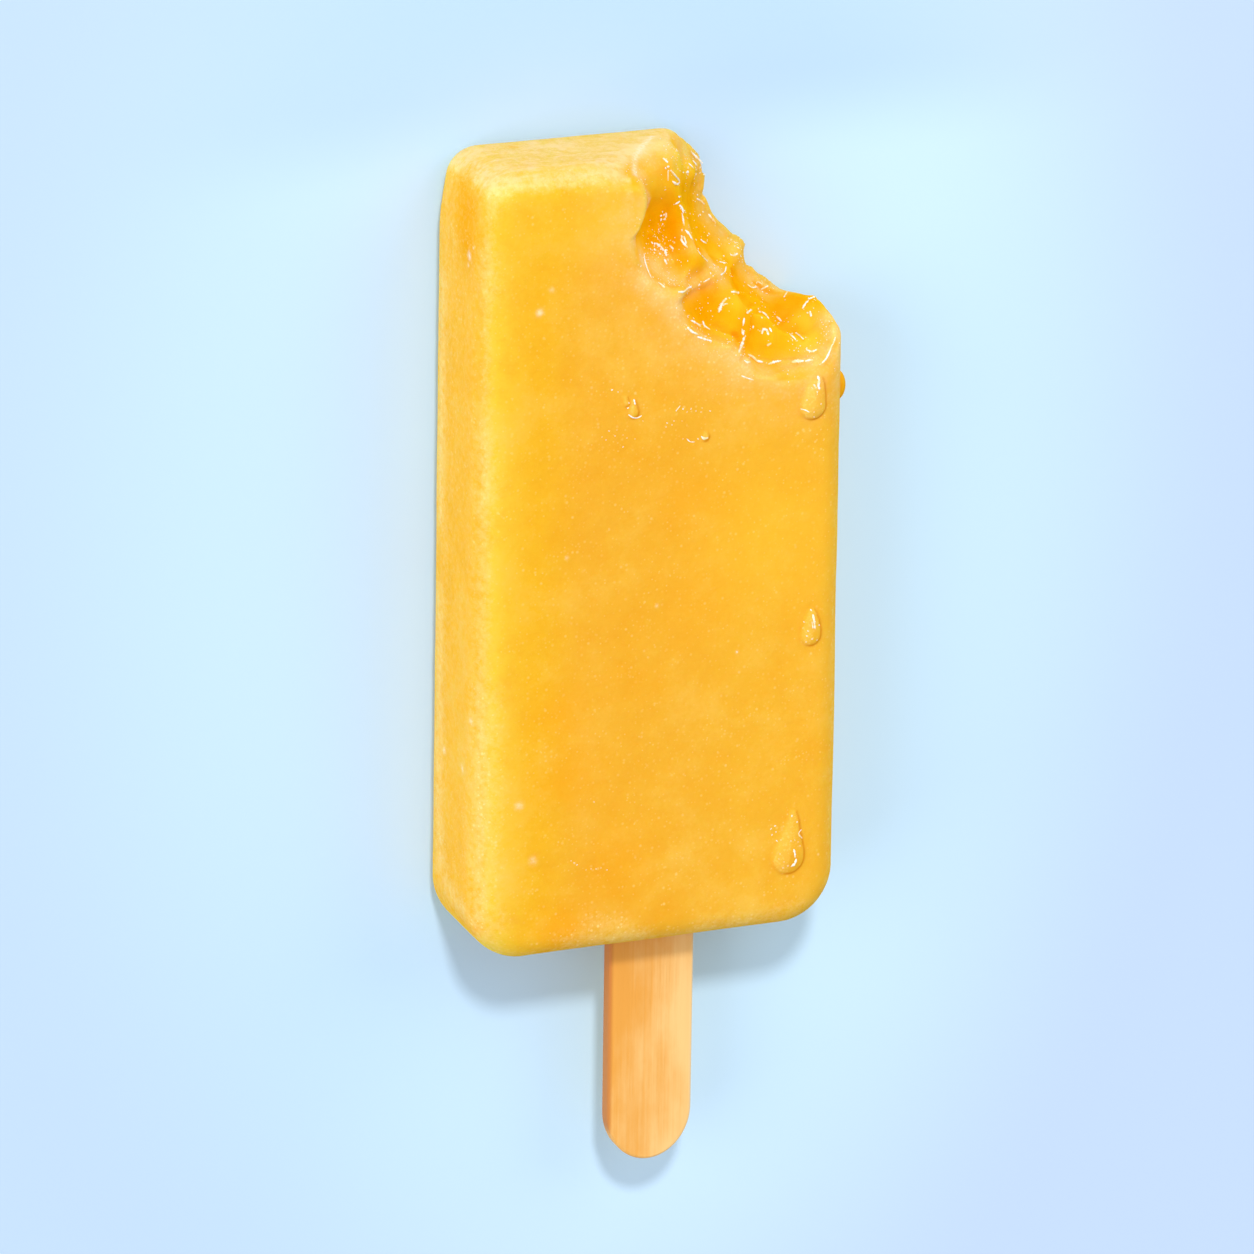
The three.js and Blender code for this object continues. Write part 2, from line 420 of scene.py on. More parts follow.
# Thin lines of painted shade, deep orange in creases: reach, strength, and the line by photo
# pixels.
DEEP_SHADE_LINES = (
    (0.22, 0.6, (777, 315, 785, 324, 794, 334, 803, 340)),
    (0.30, 0.6, (754, 283, 764, 290, 778, 294)), (0.30, 0.5, (744, 283, 756, 297, 768, 305)),
    (0.25, 0.5, (697, 185, 690, 197, 684, 205)), (0.30, 0.6, (690, 240, 700, 252, 712, 258)),
    (0.30, 0.4, (716, 326, 730, 333, 738, 338)),
)
# Thin whitish lines of frost, given as the deep ones.
CHIP_LINES = (
    (0.35, 0.6, (652, 137, 646, 142, 640, 148, 636, 156, 634, 168, 635, 182)),
    (0.28, 0.4, (637, 184, 645, 190, 649, 199, 647, 208, 643, 215)),
)
# Places of painted light, where the ice shines a clear yellow, and whitish places, partly frost
# and partly painted light on shaded walls, given as the deep spots.
PAINTED_LIGHT_SPOTS = (
    (806, 322, 2.0, 0.9), (808, 338, 1.8, 0.8), (770, 334, 1.4, 0.3), (784, 320, 1.2, 0.4),
    (678, 164, 2.2, 0.9), (690, 172, 1.2, 0.4), (664, 186, 1.6, 0.4), (652, 182, 1.4, 0.4),
    (682, 164, 1.4, 0.6), (685, 150, 1.2, 0.6), (687, 168, 1.2, 0.6), (689, 184, 0.9, 0.4),
    (734, 252, 1.6, 0.7), (720, 258, 1.4, 0.5), (734, 302, 1.4, 0.5), (760, 318, 1.0, 0.3),
    (720, 330, 1.2, 0.3), (775, 530, 8.0, 0.3),
)
PALE_FROST_AND_LIGHT_SPOTS = (
    (643, 262, 1.5, 0.9), (646, 280, 1.6, 0.9), (634, 240, 1.2, 0.7), (640, 188, 1.2, 0.7),
    (640, 202, 1.2, 0.6), (639, 215, 1.1, 0.5), (660, 294, 1.7, 0.8), (676, 308, 1.7, 0.9),
    (680, 322, 1.4, 0.6), (706, 280, 1.3, 0.6), (692, 288, 1.4, 0.7), (812, 362, 1.7, 0.8),
    (826, 352, 1.4, 0.8), (834, 332, 1.4, 0.9), (832, 312, 1.6, 0.9), (818, 300, 1.2, 0.8),
    (746, 366, 1.5, 0.9), (734, 358, 1.5, 0.8), (708, 218, 0.9, 0.6), (722, 232, 0.9, 0.6),
    (740, 248, 0.9, 0.5), (776, 287, 1.1, 0.8), (792, 293, 1.0, 0.7), (680, 136, 2.0, 0.9),
    (684, 150, 1.4, 0.6), (697, 160, 1.0, 0.5), (664, 257, 1.2, 0.5), (655, 268, 1.5, 0.8),
    (668, 278, 1.8, 0.7), (684, 284, 1.6, 0.5), (712, 272, 1.8, 0.8), (704, 256, 0.8, 0.5),
    (683, 232, 0.8, 0.6), (690, 248, 0.9, 0.6), (828, 318, 1.5, 0.7), (830, 335, 1.2, 0.5),
    (642, 152, 2.2, 0.8), (640, 175, 1.6, 0.6), (660, 144, 2.4, 0.7), (678, 142, 2.2, 0.5),
    (716, 222, 1.0, 0.4), (733, 250, 1.0, 0.4), (762, 288, 1.3, 0.6), (752, 280, 1.2, 0.6),
    (738, 372, 2.2, 0.5), (765, 374, 2.0, 0.5), (790, 368, 1.6, 0.5), (720, 352, 1.8, 0.5),
    (700, 338, 1.6, 0.5),
)
# Drops of melted ice, frozen on. Each is a row of discs: x, y and radius in millimetres, on the
# front face, and the share of its radius that the drop stands out by.
FACE_DROPS = (
    (0.50, ((17.65, 19.0, 0.25), (17.6, 18.7, 0.5), (17.35, 18.0, 1.0), (17.2, 17.4, 1.22),
            (17.1, 16.9, 1.38), (17.0, 16.3, 1.5), (16.98, 15.8, 1.55))),
    (0.42, ((17.45, -7.6, 0.35), (17.42, -8.2, 0.7), (17.4, -9.0, 1.0), (17.38, -9.9, 1.2),
            (17.36, -10.4, 1.22))),
    (0.30, ((15.75, -30.9, 0.5), (15.75, -31.9, 0.8), (15.6, -33.2, 1.1), (15.4, -34.6, 1.6),
            (15.3, -35.6, 1.9), (15.25, -36.0, 1.95))),
    (0.50, ((-3.8, 18.5, 0.3), (-3.8, 17.7, 0.55), (-3.8, 17.2, 0.68))),
    (0.50, ((-4.75, 18.9, 0.35), (-4.55, 18.3, 0.4))),
    (0.55, ((4.5, 13.9, 0.4), (4.55, 13.6, 0.5))),
)
DROP_SINK = 0.05
# Only points this near the front face, and this near a drop's middle, are measured against it.
DROPS_BELOW = 2.5
DROP_REACH = 4.5
FAR_FROM_DROPS = 9.0
# Towards where a drop's rim gets painted shade, seen square on. Painted light fills the other
# side.
DROP_SHADE = (0.75, -0.66)
SIDE_DROP_AT = (21.0, 16.8, 12.2)
SIDE_DROP_HALF = (1.1, 1.75, 1.2)
DROP_BLEND = 0.15

# How thickly frost lies on the rounded edges and on the faces, and how far a place has to be
# turned to one side to count as part of its edge or face.
TOP_EDGE_FROST = 0.6
LEFT_EDGE_FROST = 0.2
ANY_EDGE_FROST = 0.12
TOP_FROST = 0.5
SIDE_FROST = 0.18
BACK_FROST = 0.12
EDGE_TILT = (0.2, 0.5)
FACE_TILT = (0.75, 0.97)
# More frost on the faces and edges: reach, strength, and the line by photo pixels.
FROST_LINES = (
    (1.6, 0.18, (488, 258, 488, 275, 489, 292)), (1.4, 0.22, (487, 440, 487, 470, 486, 505)),
    (1.3, 0.10, (485, 520, 484, 600, 483, 690)),
    (2.0, 0.22, (486, 700, 485, 760, 484, 820, 484, 880)),
    (1.8, 0.22, (484, 880, 486, 905, 492, 925)), (2.0, 0.15, (488, 172, 492, 186, 497, 196)),
    (1.6, 0.35, (462, 158, 474, 156)), (1.6, 0.25, (525, 150, 545, 148, 560, 146)),
    (1.4, 0.35, (617, 168, 628, 156, 640, 148)), (1.2, 0.30, (442, 280, 441, 400, 440, 520)),
    (1.4, 0.30, (439, 600, 438, 720, 438, 800, 440, 860)),
    (1.2, 0.30, (446, 884, 456, 902, 470, 920)),
    (1.2, 0.25, (562, 942, 581, 938, 606, 938, 640, 934)), (1.5, 0.20, (592, 922, 620, 926)),
    (1.2, 0.15, (700, 925, 760, 918, 800, 906)),
)
# Grainy places on the faces, given as the frost lines.
GRAIN_LINES = (
    (2.2, 0.8, (640, 258, 648, 285, 664, 302, 690, 330, 712, 358, 745, 378)),
    (2.6, 0.5, (632, 225, 636, 262, 650, 305, 680, 350, 720, 388, 770, 396)),
    (1.8, 0.8, (806, 430, 820, 440, 830, 452)), (1.2, 0.7, (606, 398, 626, 392, 640, 400)),
    (1.4, 0.6, (650, 410, 680, 405, 712, 410)), (1.2, 0.5, (690, 440, 712, 436)),
    (2.0, 0.5, (620, 640, 640, 600, 668, 560, 690, 520)),
    (1.8, 0.4, (700, 480, 724, 500, 740, 540)), (1.5, 0.5, (572, 862, 596, 869, 612, 870)),
    (1.8, 0.8, (562, 942, 581, 938, 606, 938)), (1.6, 0.9, (592, 922, 606, 920, 620, 926)),
    (1.8, 0.5, (640, 935, 700, 925, 760, 918, 805, 905)), (1.7, 0.8, (477, 925, 491, 936)),
    (1.2, 0.8, (461, 901, 470, 915, 482, 927)),
    (2.2, 0.8, (486, 700, 485, 760, 484, 820, 484, 890)), (1.6, 0.6, (806, 600, 812, 655)),
    (2.0, 0.6, (780, 812, 790, 845, 792, 880)), (1.6, 0.5, (470, 722, 463, 770, 466, 860)),
    (1.4, 0.5, (441, 300, 440, 420, 438, 560, 436, 700, 437, 850)),
    (2.0, 0.5, (600, 800, 624, 806, 640, 812)),
)
# Small chips of frost under the surface: photo pixel, reach and strength.
CHIPS = (
    (469, 256, 0.42, 1.0), (468, 265, 0.22, 0.6), (473, 248, 0.15, 0.8), (540, 313, 0.38, 0.7),
    (552, 290, 0.3, 0.3), (519, 806, 0.45, 0.45), (533, 861, 0.45, 0.45), (444, 750, 0.4, 0.6),
    (462, 769, 0.35, 0.5), (471, 722, 0.35, 0.5), (567, 558, 0.2, 0.5), (657, 606, 0.2, 0.4),
    (737, 652, 0.18, 0.4),
)
# Darker places on the faces, given as the chips.
DARK_SPOTS = (
    (466, 215, 3.4, 1.0), (464, 185, 2.6, 0.8), (467, 245, 3.0, 1.0), (512, 147, 0.6, 0.8),
    (560, 716, 3.4, 0.35), (566, 775, 4.0, 0.35), (620, 860, 4.0, 0.3), (560, 935, 3.2, 0.6),
    (690, 505, 4.0, 0.25), (700, 600, 4.0, 0.2),
)
# Places in the bite where the grains of frost lie thickest, given as the chips.
FROST_SPOTS = (
    (662, 246, 1.0, 1.0), (653, 240, 1.2, 0.8), (655, 256, 1.3, 0.8), (654, 247, 1.0, 1.0),
    (672, 280, 1.4, 0.7), (686, 282, 1.0, 0.6), (722, 268, 1.0, 0.7), (696, 168, 0.9, 0.7),
    (737, 246, 1.0, 0.7), (762, 288, 1.2, 0.9), (672, 150, 1.6, 0.6), (701, 333, 1.3, 0.6),
    (722, 350, 1.2, 0.5), (830, 322, 0.9, 0.6), (800, 350, 1.2, 0.5),
)
# Grains of frost: how many, and the radius, sides and uneven sizes of each.
SPECK_COUNT = 700
SPECK_RADIUS = 0.05
SPECK_SIDES = 6
SPECK_SIZES = (0.6, 1.5)
# Small bright dots, painted highlights and grains of frost: radius, and the photo pixel of each.
DOTS = (
    (0.09, (792, 816, 797, 822, 794, 825, 791, 829, 789, 833, 793, 832, 795, 840)),
    (0.07, (775, 826, 771, 829, 776, 832, 772, 835, 777, 841, 781, 840, 791, 841)),
    (0.06, (780, 854, 779, 859, 784, 862, 788, 866, 783, 868, 798, 842, 800, 846)),
    (0.08, (811, 610, 819, 625, 807, 636)),
    (0.06, (804, 622, 803, 628, 808, 631, 812, 639, 817, 640, 806, 642)),
    (0.06, (814, 412, 821, 404, 814, 417, 807, 400, 809, 396, 810, 406, 812, 388)),
    (0.08, (612, 390, 629, 403, 628, 408, 683, 409, 667, 423)),
    (0.055, (618, 392, 687, 412, 691, 409, 696, 411, 702, 408, 701, 412, 710, 411)),
    (0.055, (666, 427, 672, 425, 682, 421, 674, 421, 643, 421, 683, 439, 698, 439)),
    (0.05, (602, 437, 606, 440, 615, 436, 623, 435, 627, 438, 635, 439, 623, 447)),
    (0.05, (617, 430, 609, 431, 571, 861, 574, 863, 577, 865, 586, 870, 591, 869)),
    (0.05, (596, 869, 601, 868, 607, 870, 567, 558, 657, 606, 737, 652, 594, 802)),
)
# Painted highlights, white threads and beads where the wet ice catches light, most in the bite:
# radius, and the line by photo pixels. Each one above a row of the photo has a stray bead near it,
# placed by chance. A thread is drawn in parts where its points lie further apart on the ice than
# the gap.
GLINT_SIZE = 0.95
GLINT_SIDES = 8
GLINT_HEIGHT = 0.5
GLINT_UNEVENNESS = 0.45
GLINT_GAP = 0.8
STRAY_RADII = (0.04, 0.09)
STRAY_REACH = 3.0
STRAYS_ABOVE = 370
GLINTS = (
    (0.13, (691, 152, 698, 159, 702, 163)), (0.12, (693, 161, 697, 166)),
    (0.12, (689, 164, 693, 168)), (0.15, (686, 173, 688, 172)), (0.12, (688, 168)),
    (0.10, (700, 168)), (0.10, (700, 173)),
    (0.14, (671, 171, 676, 177, 680, 182, 677, 185, 673, 182)), (0.14, (664, 159, 667, 162)),
    (0.13, (668, 167)), (0.10, (668, 172, 668, 180)), (0.10, (679, 197)),
    (0.12, (676, 204, 679, 202)), (0.16, (680, 206, 682, 208, 683, 212)),
    (0.10, (682, 214, 683, 219, 684, 225)), (0.15, (686, 231, 689, 234, 692, 239)),
    (0.12, (682, 237, 681, 240, 684, 244, 687, 247)), (0.11, (684, 237, 686, 243)),
    (0.11, (696, 240)), (0.11, (701, 240, 703, 242, 706, 243)), (0.11, (698, 251, 700, 254)),
    (0.12, (702, 256, 704, 258, 707, 261)), (0.11, (661, 216)), (0.11, (664, 215)),
    (0.12, (666, 214, 666, 217)), (0.11, (661, 220)), (0.10, (665, 219)),
    (0.13, (657, 244, 659, 246)), (0.12, (661, 247, 663, 250)), (0.15, (665, 251, 666, 255)),
    (0.22, (665, 261, 666, 263)), (0.10, (652, 243)), (0.10, (655, 250)), (0.10, (660, 254)),
    (0.10, (670, 246, 673, 249)), (0.12, (644, 254, 645, 262, 648, 271, 651, 277)),
    (0.12, (659, 283, 662, 285, 664, 287)), (0.12, (679, 292, 684, 292, 688, 288, 691, 287)),
    (0.09, (699, 285)), (0.09, (704, 282, 709, 279)), (0.09, (713, 276)), (0.09, (714, 265)),
    (0.09, (720, 262, 725, 263)), (0.09, (726, 267, 725, 272, 721, 275)),
    (0.11, (697, 199, 701, 201, 704, 204)), (0.13, (709, 215, 712, 219, 715, 222)),
    (0.09, (700, 215)), (0.10, (709, 234)), (0.09, (719, 246)), (0.11, (731, 240)),
    (0.09, (735, 243)), (0.12, (731, 255, 734, 256, 737, 254)), (0.10, (738, 248)),
    (0.13, (692, 321, 696, 323, 700, 326)), (0.14, (703, 322, 704, 326, 709, 329)),
    (0.13, (688, 328, 692, 332, 697, 334)), (0.12, (698, 337, 704, 339, 711, 341)),
    (0.22, (722, 304, 720, 308, 719, 311)), (0.14, (726, 299, 723, 302)), (0.11, (726, 304)),
    (0.12, (732, 292, 735, 292, 738, 293)), (0.13, (747, 313, 751, 310)),
    (0.11, (759, 312, 761, 312)), (0.17, (763, 313, 766, 315, 768, 318)),
    (0.14, (744, 319, 743, 325)), (0.16, (742, 330, 743, 334)),
    (0.17, (744, 338, 742, 344, 739, 352)), (0.16, (762, 333, 763, 329, 767, 330, 768, 334)),
    (0.15, (770, 329, 771, 331)), (0.16, (768, 345, 770, 344)), (0.10, (753, 327)),
    (0.15, (749, 355, 753, 357, 757, 361, 762, 362)), (0.16, (769, 364, 774, 362, 780, 361)),
    (0.19, (793, 362, 797, 361, 802, 361)), (0.12, (806, 361, 812, 360)),
    (0.13, (807, 350, 812, 352, 816, 350)), (0.11, (822, 363, 826, 359, 829, 353, 832, 345)),
    (0.10, (835, 338, 833, 344)), (0.10, (777, 317, 781, 321)), (0.11, (790, 334, 795, 339)),
    (0.11, (796, 333, 800, 336, 803, 339)), (0.15, (803, 308, 805, 304, 808, 301)),
    (0.12, (809, 299, 814, 297)), (0.14, (810, 312, 811, 316)), (0.11, (784, 297, 787, 292)),
    (0.09, (748, 285, 752, 288, 756, 287)), (0.09, (762, 289, 768, 286)),
    (0.09, (758, 282, 762, 284)), (0.12, (745, 361, 747, 363, 750, 362)),
    (0.08, (742, 376, 747, 378, 753, 380)), (0.14, (818, 377, 819, 380)),
    (0.20, (819, 382, 818, 386, 819, 388)), (0.12, (817, 391, 817, 394)),
    (0.10, (814, 385, 816, 388)), (0.08, (817, 397, 816, 401, 815, 404)),
    (0.07, (801, 409, 805, 410, 809, 412)), (0.14, (813, 615, 814, 620, 815, 628)),
    (0.07, (812, 622, 813, 628)), (0.13, (794, 850, 795, 854, 795, 857)),
    (0.16, (796, 860, 795, 864, 792, 866)), (0.08, (801, 830, 798, 834, 802, 838)),
    (0.08, (629, 415, 633, 418, 638, 418, 641, 416)), (0.10, (634, 400, 635, 404)),
    (0.13, (702, 437, 704, 439, 707, 438)), (0.06, (687, 439, 690, 442, 694, 442)),
    (0.05, (680, 406, 676, 411)),
)
# Narrow creases in the bite, given as the ridges, but cut in.
CREASES = (
    (0.40, 0.0, 0.6, (727, 262, 733, 276, 736, 287)),
    (0.35, 0.0, 0.5, (717, 326, 730, 333, 737, 338)),
)


def seen_lines(field, paths, step):
    """Points and outward directions on a field for each of several lines of photo pixels."""
    pixels = [along_path(corners, step) for corners in paths]
    at = seen_points(field, np.concatenate(pixels))
    out = outward(field, at)
    ends = np.cumsum([len(line) for line in pixels])[:-1]
    return list(zip(np.split(at, ends), np.split(out, ends)))


def spheres(strokes):
    """Each stroke as sphere centres on the wall, with its radius and blending."""
    lines = seen_lines(plain_ice, [stroke[3] for stroke in strokes], 1.2)
    return [(at + out * s[1], s[0], s[2]) for s, (at, out) in zip(strokes, lines)]


RAISED = spheres(RIDGES) + spheres([(r, -down, blend, (x, y)) for x, y, r, down, blend in LUMPS])
CUT_IN = spheres(CREASES)
# Points further than this from a stroke are left as they are.
STROKE_REACH = 1.6


def with_strokes(d, p, strokes):
    """A field's values at points, with rows of spheres blended on."""
    for centres, radius, blend in strokes:
        reach = radius + STROKE_REACH
        near = np.all((p > centres.min(0) - reach) & (p < centres.max(0) + reach), axis=1)
        if near.any():
            gaps = np.linalg.norm(p[near][:, None] - centres[None], axis=2)
            d[near] = smooth_min(d[near], gaps.min(axis=1) - radius, blend)
    return d


def face_drops(p):
    """Distance to the drops on the front face, and to their outlines seen square on."""
    d = np.full(len(p), FAR_FROM_DROPS)
    flat = np.full(len(p), FAR_FROM_DROPS)
    near = np.where(p[:, 2] > BAR_THICKNESS - DROPS_BELOW)[0]
    q = p[near]
    for height, discs in FACE_DROPS:
        rows = np.array(discs)
        steps = np.linspace(0, len(rows) - 1, 4 * len(rows) - 3)
        rows = between(steps, np.arange(len(rows)), rows)
        reach = np.linalg.norm(q[:, :2] - rows[:, :2].mean(0), axis=1) < DROP_REACH
        r = q[reach]
        sides = np.linalg.norm(r[:, None, :2] - rows[None, :, :2], axis=2)
        lift = (r[:, 2] - BAR_THICKNESS + DROP_SINK) / height
        gap = (np.hypot(sides, lift[:, None]) - rows[None, :, 2]).min(axis=1)
        gap = gap * (0.5 + 0.5 * height)
        there = near[reach]
        d[there] = np.minimum(d[there], gap)
        flat[there] = np.minimum(flat[there], (sides - rows[None, :, 2]).min(axis=1))
    return d, flat


def side_drop(p):
    return ellipsoid(p, np.array(SIDE_DROP_AT), np.diag([1 / half for half in SIDE_DROP_HALF]))


def drops(p):
    return np.minimum(face_drops(p)[0], side_drop(p))


def ice(p):
    """The bar with the wet relief in its bite and the slight waves of its faces."""
    wall = bite(p)
    near = smooth_step(*WALL_WAVES_REACH, np.abs(wall))
    d = smooth_max(block(p), -(wall + near * waves(p, WALL_WAVES)), rim_rounding(p))
    d = with_strokes(d, p, RAISED)
    d = smooth_max(d, block(p), INSIDE_BLEND)
    d = -with_strokes(-d, p, CUT_IN)
    d = d + (1 - near) * waves(p, FACE_WAVES)
    return smooth_min(d, drops(p), DROP_BLEND)


# --- meshes ---------------------------------------------------------------------------------

# The bar's first grid is even. The bite, the drops and the chips are then made finer twice, the
# second time to a shorter reach.
GRID_SIZE = 0.6
GRID_MARGIN = 1.2
FINE_REACHES = (2.5, 1.2)
SETTLE_ROUNDS = 3
SETTLE_SHARE = 0.6
# A place is hollow where ice is nearer than this to a point this far out from it. Hollow places
# of the wet bite get painted shade.
HOLLOW_REACH = 2.5


def grid_surface(field, low, high, size):
    """The surface of a field as points and triangles, at one size of grid."""
    low = np.array(low, dtype=float)
    counts = np.ceil((np.array(high) - low) / size).astype(int) + 1
    ticks = [low[i] + size * np.arange(counts[i]) for i in range(3)]
    points = np.stack(np.meshgrid(*ticks, indexing="ij"), axis=-1).reshape(-1, 3)
    values = field(points).reshape(counts).astype(np.float32)
    grid = openvdb.FloatGrid(3 * size)
    grid.copyFromArray(values)
    grid.transform = openvdb.createLinearTransform(voxelSize=size)
    verts, tris, quads = grid.convertToPolygons(0.0, 0.0)
    verts = verts.astype(float) + low
    quads = quads.astype(int)
    # Each quad is split along its shorter diagonal.
    one, other = (verts[quads[:, i]] - verts[quads[:, i + 2]] for i in range(2))
    short = np.linalg.norm(one, axis=1) <= np.linalg.norm(other, axis=1)
    first = np.where(short[:, None], quads[:, [0, 1, 2]], quads[:, [0, 1, 3]])
    second = np.where(short[:, None], quads[:, [0, 2, 3]], quads[:, [1, 2, 3]])
    return verts, np.concatenate([first, second, tris.astype(int)])


def edges_of(tris):
    return np.concatenate([tris[:, [0, 1]], tris[:, [1, 2]], tris[:, [2, 0]]])


def refine(verts, tris, wanted):
    """Splits each wanted triangle in four, and its neighbours so that no edge is left open."""
    edges = np.sort(edges_of(tris), axis=1)
    keys, inverse = np.unique(edges, axis=0, return_inverse=True)
    inverse = inverse.reshape(3, -1).T
    split = np.zeros(len(keys), dtype=bool)
    split[inverse[wanted].ravel()] = True
    middle = np.full(len(keys), -1)
    middle[split] = len(verts) + np.arange(split.sum())
    verts = np.concatenate([verts, verts[keys[split]].mean(axis=1)])
    m = middle[inverse]
    count = (m >= 0).sum(axis=1)
    (a, b, c), (ab, bc, ca) = tris[count == 3].T, m[count == 3].T
    parts = [(a, ab, ca), (ab, b, bc), (ca, bc, c), (ab, bc, ca)]
    for k in range(3):
        order = [k, (k + 1) % 3, (k + 2) % 3]
        one = (count == 1) & (m[:, k] >= 0)
        (a, b, c), ab = tris[one][:, order].T, m[one][:, k]
        parts += [(a, ab, c), (ab, b, c)]
        two = (count == 2) & (m[:, k] < 0)
        (a, b, c), (_, bc, ca) = tris[two][:, order].T, m[two][:, order].T
        parts += [(c, ca, bc), (a, b, bc), (a, bc, ca)]
    split_up = [np.stack(part, axis=1) for part in parts]
    return verts, np.concatenate([tris[count == 0], *split_up])


def painted(p, spots):
    """How strongly soft spots colour each point."""
    total = np.zeros(len(p))
    middles = seen_points(plain_ice, [spot[:2] for spot in spots])
    for at, (_, _, reach, strength) in zip(middles, spots):
        total = np.maximum(total, strength * np.exp(-((p - at) ** 2).sum(1) / reach**2))
    return total


def lined(p, lines, step=6):
    """How strongly soft lines colour each point."""
    total = np.zeros(len(p))
    paths = [line[2] for line in lines]
    for (reach, strength, _), (at, _) in zip(lines, seen_lines(plain_ice, paths, step)):
        there = np.all((p > at.min(0) - 3 * reach) & (p < at.max(0) + 3 * reach), axis=1)
        gap = ((p[there][:, None] - at[None]) ** 2).sum(2).min(1)
        total[there] = np.maximum(total[there], strength * np.exp(-gap / reach**2))
    return total


def frosting(p):
    """How thickly frost lies on the faces and rounded edges: most on the top and the left ones."""
    tilt = outward(block, p)
    # Nothing on a flat face, and 1 in the middle of a rounded edge.
    edge = np.clip((1 - np.abs(tilt).max(axis=1)) / (1 - math.sqrt(0.5)), 0, 1)
    any_edge = smooth_step(0.2, 0.9, edge)
    top_edge = smooth_step(0.05, 0.6, edge) * smooth_step(*EDGE_TILT, tilt[:, 1])
    left_edge = any_edge * smooth_step(*EDGE_TILT, -tilt[:, 0])
    top = smooth_step(*FACE_TILT, tilt[:, 1])
    back = smooth_step(*FACE_TILT, -tilt[:, 2])
    # The sides are frosted thicker towards the back.
    low_down = 0.5 + 0.5 * smooth_step(9.0, 2.0, p[:, 2])
    side = smooth_step(*FACE_TILT, np.abs(tilt[:, 0])) * low_down
    parts = (
        TOP_EDGE_FROST * top_edge,
        LEFT_EDGE_FROST * left_edge,
        ANY_EDGE_FROST * any_edge,
        TOP_FROST * top,
        SIDE_FROST * side,
        BACK_FROST * back,
    )
    return np.maximum(np.max(parts, axis=0), 0) + lined(p, FROST_LINES)


def settle(field, verts, tris, rounds):
    """Evens out the points along a field's surface, and keeps them on it."""
    start, end = edges_of(tris).T
    count = np.maximum(np.bincount(start, minlength=len(verts)), 1)[:, None]
    for _ in range(rounds):
        total = np.stack([np.bincount(start, verts[end, i], len(verts)) for i in range(3)], axis=1)
        value, g = slope(field, verts)
        shift = SETTLE_SHARE * (total / count - verts)
        shift -= ((shift * g).sum(1) / np.maximum((g * g).sum(1), LEAST_SLOPE))[:, None] * g
        verts = verts + shift + way_back(value, g)
    return project(field, verts, 1)


def add_mesh(name, verts, faces, attributes=None):
    mesh = bpy.data.meshes.new(name)
    mesh.from_pydata((np.asarray(verts) * MM).tolist(), [], [list(map(int, f)) for f in faces])
    for key, values in (attributes or {}).items():
        layer = mesh.attributes.new(key, "FLOAT", "POINT")
        layer.data.foreach_set("value", np.asarray(values, dtype=np.float32))
    mesh.polygons.foreach_set("use_smooth", [True] * len(mesh.polygons))
    mesh.update()
    made = bpy.data.objects.new(name, mesh)
    bpy.context.scene.collection.objects.link(made)
    return made


def weld(made):
    """Joins points that coincide and turns every face outwards."""
    bm = bmesh.new()
    bm.from_mesh(made.data)
    bmesh.ops.remove_doubles(bm, verts=bm.verts, dist=1e-7)
    bmesh.ops.recalc_face_normals(bm, faces=bm.faces)
    bm.to_mesh(made.data)
    bm.free()


